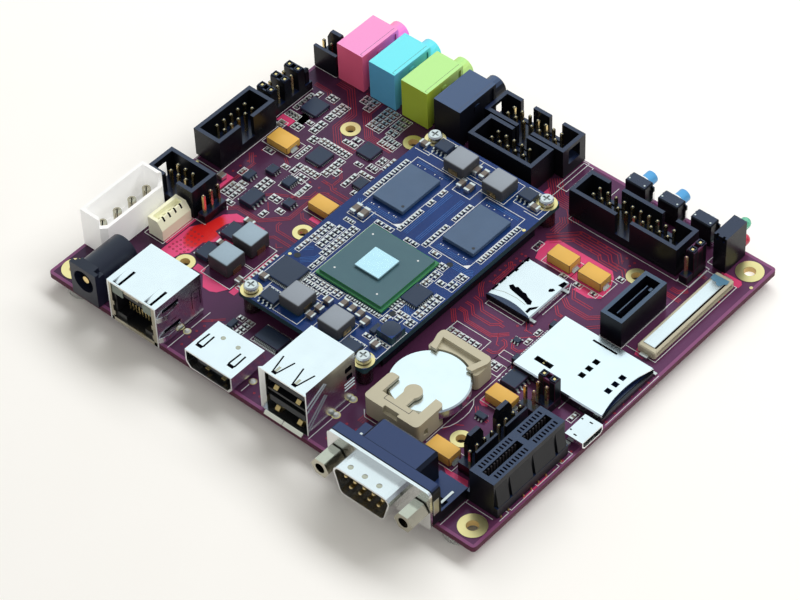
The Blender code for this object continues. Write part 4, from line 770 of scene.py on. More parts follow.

# %% [markdown]
# ## Gold lands round the holes
# Each fixing hole is lined with plated copper and ringed by a gold land, where a screw head presses.
# The ring is four joined circles, just above the raised ring of the solid board, and a short tube
# lines the hole. The tube glows a little, painted light, so the shaded inside of the hole isn't black.
# Six smaller holes and the four module corners have their own rings.

# %% Lands
CORNER_HOLES = [(x, y) for x in (4.5, 131.0) for y in (4.9, 108.1)]
SMALL_HOLES = [(23.3, 84.2), (38.8, 90.5), (38.8, 49.3), (23.5, 23.5), (111.0, 89.5), (112.2, 23.0)]
MODULE_HOLES = [(x, y) for x in (46.8, 82.6) for y in (22.8, 90.0)]
lands, tubes = bmesh.new(), bmesh.new()
for places, hole, rim, level in (
    (CORNER_HOLES, 1.5, 3.55, 0.1),
    (SMALL_HOLES, 1.25, 2.62, 0.1),
    (MODULE_HOLES, 1.2, 2.75, MODULE_FACE),
):
    for place in places:
        add_ring(lands, (*place, level), hole, rim, 0.04)
        if level < 1:
            add_ring(tubes, (*place, -1.62), hole, hole + 0.06, 1.76, sides=24)
outward(lands)
make_piece("gold_lands", lands, land_gold)
outward(tubes)
make_piece("hole_linings", tubes, lining)

# %% [markdown]
# ## Chips with legs
# The solid board carries each chip as a plain block. The real chip has a bevelled body, a small round
# dimple beside its first leg, and legs of solder-plated metal that step down to the board. The body
# is a bevelled block that fits just over the solid one. A leg is three short blocks: a shoulder, an
# upright shin and a foot, kept this plain because there are hundreds of them.


# %% Chip bodies and legs
LEG_SHEET = 0.16
WAYS = {"left": (-1, 0), "right": (1, 0), "front": (0, -1), "back": (0, 1)}


def add_leg(shape, centre, outward_way, width, rise, reach):
    """A shoulder, a shin and a foot, in a line that leaves the body."""
    way = Vector((*outward_way, 0))
    side = Vector((-way.y, way.x, 0)) * width
    for low, high, bottom, top in (
        (-0.05, reach * 0.4, rise - LEG_SHEET, rise),
        (reach * 0.3, reach * 0.5, 0.0, rise),
        (reach * 0.45, reach, 0.0, LEG_SHEET),
    ):
        spot = Vector(centre) + way * (low + high) / 2
        size = way * (high - low) + side
        add_box(shape, spot.xy, (abs(size.x), abs(size.y), top - bottom), spot.z + bottom)


def add_legs(shape, box, sides, pitch, count, width, rise, reach, level=0.0):
    """Legs on the named sides of a body that stands from `level` up."""
    (x, y), (width_x, width_y) = box
    for side in sides:
        way = Vector(WAYS[side])
        here = count[side in ("front", "back")]
        for number in range(here):
            slip = (number - (here - 1) / 2) * pitch
            along = Vector((way.y, way.x)) * slip
            half = Vector((way.x * width_x / 2, way.y * width_y / 2))
            add_leg(shape, (x + half.x + along.x, y + half.y + along.y, level), way, width, rise, reach)


def add_chip(shape, centre, size, low, edge=0.12):
    soften(shape, edge, 1, edges_of(add_box(shape, centre, size, low)))


DOT_RADIUS, DOT_INSET = 0.3, 0.78


def add_dimple(shape, centre, size, low):
    """A shallow dot near the left back corner of a chip's top."""
    x = centre[0] - size[0] / 2 + DOT_INSET
    y = centre[1] + size[1] / 2 - DOT_INSET
    add_rod(shape, (x, y, low + size[2]), DOT_RADIUS, 0.03, sides=14)


BOARD_CHIPS = (
    ((11.2, 84.2), (5.35, 5.55, 0.94), "flat", (0.5, 8)),
    ((24.3, 71.5), (5.05, 5.45, 0.94), "flat", (0.5, 8)),
    ((32.6, 80.9), (4.85, 4.75, 0.94), "flat", (0.5, 7)),
    ((38.7, 70.8), (3.05, 3.55, 0.94), "flat", (0.5, 4)),
    ((21.5, 49.7), (4.04, 5.34, 1.54), "wide", (1.27, 4)),
    ((25.9, 38.1), (3.94, 4.94, 1.54), "wide", (1.27, 4)),
    ((25.9, 29.2), (3.94, 4.94, 1.54), "wide", (1.27, 4)),
    ((110.3, 44.4), (4.44, 5.04, 1.54), "wide", (1.27, 4)),
    ((57.6, 18.0), (7.64, 4.64, 1.14), "long", (0.5, 14)),
    ((18.5, 60.5), (2.64, 2.84, 1.14), "wide", (0.8, 3)),
    ((29.8, 54.3), (2.54, 2.54, 1.14), "wide", (0.95, 3)),
    ((24.6, 60.0), (2.7, 3.4, 1.1), "wide", (0.65, 5)),
    ((15.3, 55.4), (2.2, 3.2, 1.1), "wide", (0.95, 3)),
)
bodies, legs, dots = bmesh.new(), bmesh.new(), bmesh.new()
for centre, size, form, (pitch, count) in BOARD_CHIPS:
    add_chip(bodies, centre, size, 0.0)
    add_dimple(dots, centre, size, 0.0)
    box = (centre, size[:2])
    if form == "flat":
        add_legs(legs, box, WAYS, pitch, (count, count), 0.24, 0.2, 0.28)
    elif form == "long":
        add_legs(legs, box, ("front", "back"), pitch, (0, count), 0.22, 0.7, 0.8)
    else:
        reach = 1.0 if pitch > 1 else 0.6
        add_legs(legs, box, ("left", "right"), pitch, (count, count), pitch * 0.36, 0.7, reach)
make_piece("board_chip_bodies", bodies, chip_black)

# %% Chips of the module
MODULE_PARTS = (
    ((51.1, 88.6), (3.94, 3.44, 1.54), "short", (1.27, 4)),
    ((78.0, 88.6), (3.94, 3.44, 1.54), "short", (1.27, 4)),
    ((50.0, 32.1), (7.64, 7.64, 1.14), "flat", (0.5, 14)),
    ((79.0, 46.0), (5.04, 6.24, 0.94), "flat", (0.6, 9)),
    ((52.7, 23.6), (4.64, 3.64, 1.34), "short", (1.27, 4)),
    ((77.9, 23.6), (4.64, 3.64, 1.34), "short", (1.27, 4)),
    ((78.6, 31.8), (1.7, 3.2, 0.9), "plain", (0.65, 4)),
)
bodies = bmesh.new()
for centre, size, form, (pitch, count) in MODULE_PARTS:
    add_chip(bodies, centre, size, MODULE_FACE)
    add_dimple(dots, centre, size, MODULE_FACE)
    box = (centre, size[:2])
    if form == "flat":
        sides = ("right", "front") if count == 9 else WAYS
        add_legs(legs, box, sides, pitch, (count, count - 1), 0.24, 0.5, 0.5, MODULE_FACE)
    elif form == "short":
        add_legs(legs, box, ("front", "back"), pitch, (0, count), 0.42, 0.8, 1.0, MODULE_FACE)
make_piece("module_chip_bodies", bodies, chip_black)
MEMORY_TOP = MODULE_FACE + 1.3
for x in (57.15, 79.65):
    add_rod(dots, (x, 65.9, MEMORY_TOP), 0.42, 0.03, sides=16)
make_piece("chip_dots", dots, resistor)
make_piece("chip_legs", legs, solder)

# %% [markdown]
# ## Power coils
# A moulded power coil is a pressed block of iron powder with rounded edges, and two bright copper
# tabs that fold under it. Its top is lighter than its flanks, a painted sheen: the colour it takes
# under the cool sky. The block is a cube with its upright and top edges bevelled in two steps, fitted
# over the solid one.


# %% Coils
def add_coil(core, tabs, centre, size, low, along="x"):
    """A square coil whose tabs stand at the ends of the named axis."""
    soften(core, 0.5, 3, edges_of(add_box(core, centre, size, low + 0.1)))
    for way in (-1, 1):
        spot = shifted(centre, along, way * (size[0] / 2 - 0.02))
        add_box(tabs, spot, (*lay(along, 0.3, size[0] * 0.42), 1.6), low)


cores, tabs = bmesh.new(), bmesh.new()
for y in (37.8, 29.2):
    add_coil(cores, tabs, (32.3, y), (6.6, 6.6, 4.4), 0.0)
make_piece("board_coil_cores", cores, coil_grey)
cores = bmesh.new()
for x in (58.55, 70.85):
    for y in (26.5, 86.3):
        add_coil(cores, tabs, (x, y), (6.6, 6.6, 3.5), MODULE_FACE, "y" if y > 50 else "x")
make_piece("module_coil_cores", cores, coil_warm)
make_piece("coil_tabs", tabs, brass)
wound = bmesh.new()
edges = edges_of(add_box(wound, (82.3, 32.9), (4.9, 4.9, 2.24), MODULE_FACE))
upright = [edge for edge in edges if abs(edge.verts[0].co.z - edge.verts[1].co.z) > 1]
soften(wound, 1.3, 1, upright)
soften(wound, 0.25, 2)
make_piece("wound_coil", wound, chip_black)

# %% [markdown]
# ## Tantalum capacitors
# These are ochre blocks with a metal tab at each end. The flanks of a real one slope out a little to a
# moulding line, and a printed stripe marks its positive end. Both are left out, because the slope is
# too slight to see from here and the stripe is print, so a block with softened edges will do.

# %% Tantalums
TANTALUMS = (
    ((94.6, 81.9), (7.06, 4.36, 2.84)),
    ((104.1, 81.9), (7.06, 4.36, 2.84)),
    ((13.8, 69.5), (7.06, 4.96, 2.14)),
    ((37.7, 58.3), (6.96, 4.26, 2.44)),
    ((112.2, 37.7), (7.06, 4.26, 2.84)),
    ((112.1, 16.8), (7.26, 4.26, 2.84)),
)
blocks, tabs = bmesh.new(), bmesh.new()
for centre, size in TANTALUMS:
    soften(blocks, 0.22, 2, edges_of(add_box(blocks, centre, size, 0.02)))
    for side in (-1, 1):
        for past, width, height in ((0.03, 0.16, 1.2), (0.3, 0.7, 0.12)):
            spot = shifted(centre, "x", side * (size[0] / 2 + past))
            add_box(tabs, spot, (width, 2.4, height), 0.0)
make_piece("tantalum_blocks", blocks, ochre)
make_piece("tantalum_tabs", tabs, solder)

# %% [markdown]
# ## Ceramic capacitors
# The larger ceramic capacitors are little brown bricks with silvery caps on both ends. A brick is
# one block and each cap a slightly thicker one, so the step between them shows as on the real part.


# %% Ceramic bricks
CAP_SHARE, CAP_LIFT = 0.24, 0.03


def add_brick(bricks, caps, x, y, low, height):
    """A brick whose caps sit at the ends of its longer side."""
    along = "x" if x[1] - x[0] >= y[1] - y[0] else "y"
    (first, last), (near, far) = lay(along, x, y)
    cut = CAP_SHARE * (last - first)
    add_block(bricks, *lay(along, (first + 0.1, last - 0.1), (near, far)), (low, low + height))
    for ends in ((first, first + cut), (last - cut, last)):
        spans = lay(along, ends, (near - CAP_LIFT, far + CAP_LIFT))
        add_block(caps, *spans, (low, low + height + CAP_LIFT))


MODULE_BRICKS = (
    (45.0, 47.7, 85.8, 87.4),
    (80.3, 83.0, 85.8, 87.4),
    (61.9, 63.3, 86.0, 89.0),
    (64.1, 65.6, 86.0, 89.0),
    (61.9, 63.3, 80.1, 83.1),
    (64.3, 65.9, 80.1, 83.1),
    (47.6, 49.2, 57.0, 60.4),
    (50.1, 51.8, 57.0, 60.4),
    (66.7, 68.2, 31.6, 34.4),
    (69.4, 70.8, 31.6, 34.4),
    (71.9, 73.4, 31.6, 34.3),
    (74.4, 76.0, 30.4, 33.2),
    (62.7, 65.0, 30.4, 32.2),
    (62.7, 65.0, 27.3, 29.0),
    (62.7, 65.0, 24.3, 26.0),
    (45.3, 47.9, 26.7, 28.3),
    (80.7, 83.2, 26.9, 28.6),
)
BOARD_BRICKS = (
    (25.3, 28.3, 42.4, 43.9),
    (25.3, 28.3, 32.6, 34.1),
    (9.0, 11.2, 49.8, 51.6),
    (37.6, 39.2, 26.0, 28.0),
)
bricks, caps = bmesh.new(), bmesh.new()
for x0, x1, y0, y1 in MODULE_BRICKS:
    add_brick(bricks, caps, (x0, x1), (y0, y1), MODULE_FACE, 1.2)
for x0, x1, y0, y1 in BOARD_BRICKS:
    add_brick(bricks, caps, (x0, x1), (y0, y1), 0.0, 1.3)
soften(bricks, 0.06)
soften(caps, 0.08)
make_piece("ceramic_bricks", bricks, ceramic)
make_piece("ceramic_caps", caps, solder)

# %% [markdown]
# ## Rows of tiny parts
# Around the chips stand hundreds of resistors and capacitors a millimetre long, in neat rows, each in
# its own printed box. A row is given by the box that holds it and by how many cells it has each way.
# Each cell gets a small body with two solder ends, and the printed boxes are added with the lines.


# %% Cells of tiny parts
def cells(block):
    """The middle and size of each cell in a block of rows."""
    x0, y0, x1, y1, columns, rows, along = block
    step_x, step_y = (x1 - x0) / columns, (y1 - y0) / rows
    for row in range(rows):
        for column in range(columns):
            yield (x0 + (column + 0.5) * step_x, y0 + (row + 0.5) * step_y), (step_x, step_y), along


TINY_HEIGHT = 0.42


def add_tiny(body, ends, centre, cell, along, low):
    long_side, short_side = lay(along, *cell)
    length, width = min(1.7, long_side * 0.66), min(0.95, short_side * 0.5)
    add_box(body, centre, (*lay(along, length * 0.62, width), TINY_HEIGHT), low)
    for way in (-1, 1):
        end = lay(along, length * 0.3, width * 1.12)
        add_box(ends, shifted(centre, along, way * length * 0.36), (*end, TINY_HEIGHT + 0.04), low)


MODULE_BLOCKS = (
    (45.7, 44.1, 48.2, 51.4, 2, 3, "y"),
    (48.6, 43.5, 50.9, 52.2, 1, 6, "x"),
    (51.3, 41.9, 53.6, 54.2, 2, 5, "y"),
    (45.7, 39.3, 47.1, 43.8, 1, 2, "y"),
    (52.3, 36.7, 53.8, 41.6, 1, 3, "x"),
    (48.0, 54.3, 51.0, 55.5, 2, 1, "x"),
    (54.4, 30.7, 60.7, 32.2, 4, 1, "x"),
    (54.4, 32.3, 62.3, 33.7, 5, 1, "x"),
    (54.4, 33.9, 62.3, 35.6, 6, 1, "y"),
    (62.4, 33.6, 65.1, 35.9, 2, 1, "y"),
    (65.8, 35.0, 76.6, 36.1, 7, 1, "x"),
    (76.6, 52.5, 78.8, 55.6, 2, 1, "y"),
    (76.6, 49.8, 78.6, 52.1, 1, 2, "x"),
    (79.4, 52.2, 81.6, 53.8, 1, 1, "x"),
    (81.9, 52.4, 84.4, 55.9, 2, 1, "y"),
    (81.9, 40.7, 84.5, 48.2, 2, 3, "y"),
    (81.9, 48.4, 84.5, 49.7, 1, 1, "x"),
    (75.9, 39.2, 78.4, 43.2, 2, 2, "y"),
    (78.6, 38.8, 82.2, 40.2, 2, 1, "x"),
    (79.2, 36.6, 81.4, 38.6, 1, 1, "y"),
    (82.2, 37.3, 84.6, 39.7, 1, 2, "x"),
    (77.3, 34.6, 79.2, 37.2, 1, 2, "x"),
    (77.2, 28.4, 79.6, 29.7, 1, 1, "x"),
    (80.2, 28.9, 84.6, 29.8, 2, 1, "x"),
    (46.0, 63.9, 47.6, 79.9, 1, 8, "y"),
    (60.2, 60.1, 61.5, 68.8, 1, 4, "y"),
    (60.2, 70.9, 61.5, 73.2, 1, 1, "y"),
    (60.2, 75.3, 61.5, 77.7, 1, 1, "y"),
    (68.4, 59.8, 69.8, 68.8, 1, 4, "y"),
    (68.4, 70.9, 69.8, 77.7, 1, 3, "y"),
    (82.2, 63.9, 83.7, 79.4, 1, 8, "y"),
    (54.5, 58.2, 60.0, 59.6, 2, 1, "x"),
    (64.0, 58.2, 68.0, 59.6, 2, 1, "x"),
    (71.5, 58.8, 74.5, 60.3, 1, 1, "x"),
    (76.0, 56.2, 78.4, 58.4, 2, 1, "y"),
    (81.9, 56.4, 84.4, 58.7, 2, 1, "y"),
)
BOARD_BLOCKS = (
    (7.8, 87.5, 9.2, 89.8, 1, 1, "y"),
    (6.5, 80.9, 8.0, 88.0, 1, 4, "y"),
    (10.8, 88.6, 13.7, 90.9, 2, 1, "y"),
    (15.2, 85.7, 18.2, 90.0, 2, 2, "y"),
    (15.3, 82.9, 17.5, 85.5, 1, 2, "x"),
    (6.5, 77.8, 10.6, 79.9, 4, 1, "y"),
    (12.9, 78.7, 14.9, 80.1, 1, 1, "x"),
    (15.4, 77.1, 17.7, 81.9, 1, 3, "x"),
    (10.8, 75.2, 13.7, 77.5, 2, 1, "y"),
    (7.2, 73.2, 9.6, 75.9, 1, 2, "x"),
    (18.2, 93.4, 20.3, 96.2, 1, 2, "x"),
    (20.6, 91.9, 22.9, 96.2, 1, 3, "x"),
    (25.4, 87.6, 29.9, 96.2, 2, 6, "x"),
    (30.6, 91.0, 34.0, 95.9, 2, 3, "x"),
    (31.2, 88.6, 34.2, 90.6, 2, 1, "y"),
    (31.9, 84.6, 37.0, 88.2, 3, 2, "x"),
    (24.7, 79.4, 29.0, 80.8, 2, 1, "x"),
    (26.2, 81.0, 28.9, 83.1, 1, 1, "x"),
    (20.3, 75.3, 29.8, 77.6, 8, 1, "y"),
    (17.5, 74.2, 20.0, 76.6, 1, 2, "x"),
    (19.1, 67.8, 20.4, 73.1, 1, 3, "y"),
    (28.2, 67.4, 30.3, 74.6, 1, 5, "x"),
    (30.6, 69.1, 32.0, 71.4, 1, 1, "y"),
    (21.6, 63.0, 23.4, 67.0, 1, 2, "x"),
    (23.6, 65.1, 28.6, 67.2, 4, 1, "y"),
    (24.0, 61.6, 27.2, 64.4, 1, 2, "x"),
    (28.2, 58.0, 29.7, 62.6, 1, 2, "y"),
    (18.8, 63.0, 20.8, 64.4, 1, 1, "x"),
    (11.2, 64.6, 14.2, 66.2, 1, 1, "x"),
    (36.4, 78.9, 38.4, 81.8, 2, 1, "y"),
    (38.9, 78.3, 40.1, 83.1, 1, 2, "y"),
    (32.3, 75.3, 34.6, 76.6, 1, 1, "x"),
    (35.6, 76.0, 38.8, 78.2, 2, 1, "x"),
    (35.4, 73.4, 39.9, 74.8, 2, 1, "x"),
    (34.8, 67.6, 36.3, 73.0, 1, 2, "y"),
    (38.6, 66.8, 40.2, 68.4, 1, 1, "x"),
    (11.9, 54.5, 13.4, 57.0, 1, 1, "y"),
    (18.6, 53.0, 21.6, 58.0, 2, 2, "y"),
    (13.2, 46.8, 17.6, 51.6, 3, 2, "y"),
    (14.6, 51.9, 16.9, 53.3, 1, 1, "x"),
    (16.5, 44.9, 18.9, 46.3, 1, 1, "x"),
    (24.1, 52.6, 27.2, 54.8, 2, 1, "y"),
    (28.4, 50.4, 30.6, 52.0, 1, 1, "x"),
    (26.1, 46.8, 27.7, 49.1, 1, 1, "y"),
    (28.3, 57.8, 29.8, 60.0, 1, 1, "y"),
    (38.9, 25.0, 40.3, 39.6, 1, 6, "y"),
    (46.0, 17.8, 48.0, 19.3, 1, 1, "x"),
    (48.6, 14.0, 50.8, 19.4, 1, 4, "x"),
    (87.2, 46.6, 96.8, 48.6, 6, 1, "y"),
    (102.2, 44.2, 105.0, 46.6, 2, 1, "y"),
    (104.0, 59.0, 105.2, 61.2, 1, 1, "y"),
    (104.0, 55.3, 105.2, 57.4, 1, 1, "y"),
    (107.8, 85.5, 109.8, 87.0, 1, 1, "x"),
    (85.4, 80.8, 87.0, 84.0, 1, 1, "y"),
    (96.4, 77.7, 98.4, 79.2, 1, 1, "x"),
    (100.9, 77.5, 103.2, 79.0, 1, 1, "x"),
    (105.7, 77.5, 108.0, 79.0, 1, 1, "x"),
    (127.1, 42.9, 128.6, 46.2, 1, 1, "y"),
    (127.2, 49.8, 128.6, 52.0, 1, 1, "y"),
)
capacitor_bodies, resistor_bodies, ends = bmesh.new(), bmesh.new(), bmesh.new()
for blocks, low in ((MODULE_BLOCKS, MODULE_FACE), (BOARD_BLOCKS, 0.0)):
    for block_number, block in enumerate(blocks):
        for cell_number, (centre, cell, along) in enumerate(cells(block)):
            brown = (block_number + cell_number // 3) % 3 == 0
            body = capacitor_bodies if brown else resistor_bodies
            add_tiny(body, ends, centre, cell, along, low)
make_piece("tiny_capacitors", capacitor_bodies, ceramic)
make_piece("tiny_resistors", resistor_bodies, resistor)
make_piece("tiny_ends", ends, solder)

# %% [markdown]
# ## Gold pins
# The solid headers have plain square pins in the plastic's colour. Real pins are gold plated, with
# four-sided points, so each gets a thin gold sleeve that covers it from the plastic up. A sleeve is a
# square block whose top ring is drawn in by a bevel.


# %% Pins
PIN_SIDE = 0.68
PITCH = 2.54
SEAT = 0.3


def add_pin(shape, x, y, low, high):
    body = add_box(shape, (x, y), (PIN_SIDE, PIN_SIDE, high - low), low)
    top = [vert for vert in body if vert.co.z > (low + high) / 2]
    ring = [edge for edge in edges_of(top) if edge.verts[0].co.z == edge.verts[1].co.z]
    soften(shape, PIN_SIDE * 0.3, 1, ring)


def add_pin_field(shape, centre, count, low, high, skip=()):
    """A field of pins about its middle; skip names the pins that are covered or missing."""
    for row in range(count[1]):
        for column in range(count[0]):
            if (column, row) not in skip:
                x = centre[0] + (column - (count[0] - 1) / 2) * PITCH
                y = centre[1] + (row - (count[1] - 1) / 2) * PITCH
                add_pin(shape, x, y, low, high)


pins = bmesh.new()
box_low, box_high = SEAT + 2.2, SEAT + 8.14
for centre, count in (
    ((7.4, 40.1), (3, 2)),
    ((3.8, 62.9), (2, 5)),
    ((63.4, 99.4), (5, 2)),
    ((63.4, 108.7), (7, 2)),
    ((101.8, 99.7), (10, 2)),
):
    add_pin_field(pins, centre, count, box_low, box_high)
strip_low, strip_high = 2.45, 8.24
for centre, count in (((17.2, 40.0), (1, 3)), ((120.9, 95.9), (1, 1)), ((119.0, 39.5), (2, 1))):
    add_pin_field(pins, centre, count, strip_low, strip_high)
add_pin_field(pins, (120.5, 43.6), (2, 2), strip_low, strip_high, skip=((0, 1), (1, 1)))
covered = [(column, row) for row in (0, 2, 4, 5) for column in (0, 1)]
add_pin_field(pins, (3.3, 81.7), (2, 6), SEAT + 2.5, SEAT + 8.24, covered)
for centre, count in (((120.6, 25.3), (1, 8)), ((4.0, 98.9), (3, 1))):
    add_pin_field(pins, centre, count, SEAT + 3.0, SEAT + 7.64)
make_piece("gold_pins", pins, gold)

# %% [markdown]
# ## Copper under the mask
# Tracks and filled areas of copper show through the mask as brighter red, because the mask lies over
# shiny metal there and over dull glass cloth elsewhere. They also stand a little proud. Bundles of
# tracks run side by side and turn together at 45 degrees, so a bundle is one line and a count.
# The filled areas are single flat faces with the corners of the real pour.

# %% Tracks
COPPER, PRINT = 0.02, 0.05
TRACK_WIDTH = 0.2
BUNDLES = (
    ([(101.9, 76.9), (103.9, 74.2), (109.6, 74.2)], 2, 0.7),
    ([(102.1, 72.8), (104.4, 71.3), (110.6, 71.3), (113.4, 73.9)], 3, 0.55),
    ([(102.2, 69.7), (104.2, 67.8), (105.6, 67.8)], 2, 0.6),
    ([(112.4, 68.7), (115.2, 71.5), (115.2, 73.5)], 2, 0.7),
    ([(85.2, 59.6), (87.4, 59.4), (89.6, 57.2), (96.0, 57.2)], 2, 0.6),
    ([(84.8, 57.0), (86.7, 57.0), (88.8, 54.9), (94.2, 54.9), (95.6, 56.3), (97.2, 56.3)], 2, 0.55),
    ([(84.8, 54.4), (86.8, 54.4), (88.9, 52.3), (96.5, 52.3), (99.6, 55.4)], 3, 0.45),
    ([(83.4, 64.6), (84.6, 62.6), (86.6, 60.6)], 3, 0.5),
    ([(83.8, 53.3), (85.0, 52.1), (87.0, 50.1)], 3, 0.5),
    ([(99.4, 53.0), (100.4, 53.0), (101.4, 52.0), (101.4, 49.4), (100.3, 48.3), (98.6, 48.3)], 2, 0.55),
    ([(97.4, 54.0), (98.6, 52.2), (99.3, 50.9), (100.2, 50.9)], 1, 0.5),
    ([(100.9, 54.7), (104.6, 58.4), (105.9, 59.7)], 1, 0.5),
    ([(101.6, 54.6), (103.0, 52.4), (104.6, 52.4), (106.4, 54.2)], 2, 0.5),
    ([(99.9, 61.4), (101.9, 58.9), (103.6, 58.9)], 1, 0.5),
    ([(106.5, 48.0), (108.0, 46.3), (108.0, 43.0)], 1, 0.5),
    ([(85.3, 86.4), (91.5, 92.6), (103.2, 92.6), (105.5, 90.3)], 2, 0.8),
    ([(86.2, 85.6), (91.6, 91.0), (101.5, 91.0), (103.3, 89.2), (107.2, 89.2), (109.9, 86.5)], 2, 0.8),
    ([(87.4, 85.2), (91.6, 89.4), (99.6, 89.4), (100.8, 88.2), (106.4, 88.2)], 2, 0.7),
    ([(119.8, 91.7), (121.8, 91.7), (123.6, 93.5)], 3, 0.5),
    ([(119.8, 89.6), (124.2, 89.6)], 3, 0.5),
    ([(119.6, 97.6), (121.6, 99.6), (124.4, 99.6)], 2, 0.6),
    ([(9.4, 95.4), (13.4, 95.4), (20.1, 88.7), (20.1, 82.5), (24.5, 78.1), (29.8, 78.1)], 4, 0.62),
    ([(22.6, 97.2), (22.6, 91.2), (28.9, 84.9), (36.8, 84.9)], 5, 0.5),
    ([(18.4, 97.2), (18.4, 96.4)], 3, 0.6),
    ([(4.9, 91.2), (9.8, 91.2), (11.0, 90.0)], 3, 0.5),
    ([(30.2, 65.9), (33.2, 65.9), (34.4, 64.9), (40.4, 64.9)], 2, 0.6),
    ([(32.9, 60.6), (32.9, 62.0), (33.8, 62.9), (40.4, 62.9)], 2, 0.5),
    ([(27.4, 57.0), (29.4, 57.0), (31.9, 59.5), (31.9, 62.0)], 2, 0.6),
    ([(32.9, 62.0), (32.9, 50.8), (27.6, 45.5), (20.4, 45.5), (18.6, 43.7)], 3, 0.5),
    ([(34.0, 54.2), (35.4, 52.8), (40.4, 52.8)], 2, 0.55),
    ([(32.3, 48.4), (32.3, 47.1), (33.6, 45.8), (40.4, 45.8)], 2, 0.55),
    ([(33.2, 41.4), (33.2, 42.5), (34.4, 43.7), (40.4, 43.7)], 2, 0.55),
    ([(22.2, 52.6), (24.4, 54.8), (27.0, 56.2), (29.8, 57.2)], 2, 0.5),
    ([(25.0, 51.6), (27.0, 49.6)], 1, 0.5),
    ([(12.9, 60.0), (12.9, 47.0)], 2, 0.5),
    ([(9.6, 62.0), (12.2, 59.4)], 3, 0.5),
    ([(17.6, 66.0), (19.4, 64.8), (19.4, 63.0)], 2, 0.5),
    ([(30.8, 72.0), (33.4, 69.4), (33.4, 66.4)], 2, 0.5),
    ([(36.3, 42.3), (37.3, 41.3), (38.4, 42.4)], 1, 0.5),
    ([(13.6, 23.0), (13.6, 14.0)], 3, 0.5),
    ([(40.0, 11.6), (44.3, 15.9)], 2, 0.45),
    ([(74.4, 103.2), (79.2, 98.4), (84.4, 98.4), (88.3, 94.5)], 7, 0.6),
    ([(84.6, 94.0), (86.0, 92.6), (86.0, 88.4)], 4, 0.6),
    ([(84.4, 74.0), (85.9, 72.5), (85.9, 66.0)], 3, 0.5),
    ([(110.0, 26.6), (107.9, 25.2), (107.0, 22.6)], 1, 0.5),
    ([(108.4, 33.0), (110.4, 30.9), (113.6, 30.9)], 2, 0.6),
    ([(62.0, 97.0), (66.0, 93.2)], 6, 0.6),
    ([(86.4, 20.2), (91.0, 15.6), (91.0, 12.0)], 4, 0.6),
    ([(66.0, 17.0), (70.0, 19.4), (78.0, 19.4)], 4, 0.6),
)
tracks = bmesh.new()
for points, count, pitch in BUNDLES:
    add_bundle(tracks, points, count, pitch, TRACK_WIDTH, COPPER)
thicken(tracks, 0.02)
make_piece("copper_tracks", tracks, track_red)

# %% Filled copper
POURS = (
    [(15.9, 22.8), (15.9, 33.0), (18.5, 37.2), (19.4, 41.4), (21.8, 43.8), (30.8, 44.2), (30.8, 43.2),
     (25.2, 42.6), (23.4, 41.4), (22.2, 39.4), (21.9, 36.0), (24.8, 35.2), (25.2, 34.4), (23.4, 32.2),
     (22.2, 31.2), (22.2, 26.6), (20.6, 25.0), (20.2, 22.8)],
    [(26.2, 25.2), (28.9, 25.2), (29.6, 23.2), (26.4, 23.2)],
    [(29.4, 23.6), (38.0, 23.6), (36.4, 21.0), (34.8, 20.2), (32.6, 20.2)],
    [(38.6, 39.8), (40.4, 39.8), (40.4, 22.9), (38.6, 22.9)],
    [(25.4, 36.2), (29.0, 36.2), (29.0, 34.4), (25.4, 34.4)],
    [(88.8, 87.3), (105.4, 87.3), (107.2, 85.6), (109.0, 81.6), (109.0, 78.2), (106.4, 76.4),
     (102.0, 76.4), (102.0, 78.8), (88.2, 78.8), (86.6, 82.6), (86.6, 85.1)],
    [(114.6, 14.0), (121.6, 14.4), (123.2, 12.3), (121.4, 11.0), (118.8, 11.2), (116.6, 12.6)],
    [(126.0, 104.1), (131.4, 104.2), (132.2, 103.4), (132.2, 102.0), (130.4, 101.5), (129.7, 103.2),
     (126.0, 103.2)],
    [(125.6, 71.4), (128.9, 71.4), (128.9, 69.2), (126.4, 69.2)],
    [(10.6, 81.6), (12.8, 80.6), (12.8, 77.6), (6.2, 77.6), (6.2, 75.0), (10.4, 75.0), (10.6, 77.6)],
    [(36.8, 55.0), (40.4, 55.0), (40.4, 53.6), (36.8, 53.6)],
    [(9.8, 52.6), (12.4, 52.6), (12.4, 46.6), (11.4, 46.6), (11.4, 51.2), (9.8, 51.2)],
    [(13.8, 36.0), (15.6, 36.0), (15.6, 25.4), (13.8, 25.4)],
    [(107.9, 36.2), (109.9, 36.2), (110.4, 34.4), (109.2, 33.9), (107.9, 34.5)],
    [(75.4, 100.0), (77.6, 97.9), (77.6, 96.6), (75.4, 96.6)],
    [(134.4, 27.0), (134.9, 27.0), (134.9, 18.4), (134.4, 18.4)],
)
pours = bmesh.new()
for outline in POURS:
    add_face(pours, outline, COPPER)
thicken(pours, 0.015)
make_piece("copper_pours", pours, pour_red)

# %% Vias
VIA_FIELDS = (
    (16.6, 24.0, 21.6, 33.0, 4, 7),
    (12.4, 84.8, 14.6, 90.0, 1, 2),
    (128.6, 94.2, 132.4, 99.0, 2, 2),
    (36.4, 47.2, 39.6, 50.4, 2, 1),
    (84.0, 65.0, 86.4, 79.0, 2, 7),
    (98.4, 57.4, 103.4, 61.8, 2, 2),
    (104.6, 62.6, 106.2, 68.6, 1, 3),
    (41.0, 2.0, 46.0, 15.0, 3, 5),
    (64.5, 2.0, 69.8, 14.0, 3, 5),
    (87.0, 2.0, 93.0, 11.0, 2, 4),
    (24.0, 62.0, 36.0, 70.0, 4, 3),
    (10.0, 50.0, 12.0, 74.0, 1, 9),
    (104.4, 88.4, 109.0, 93.6, 2, 3),
    (90.0, 88.0, 101.0, 94.0, 4, 2),
    (134.2, 28.0, 134.6, 66.0, 1, 12),
)
vias = bmesh.new()
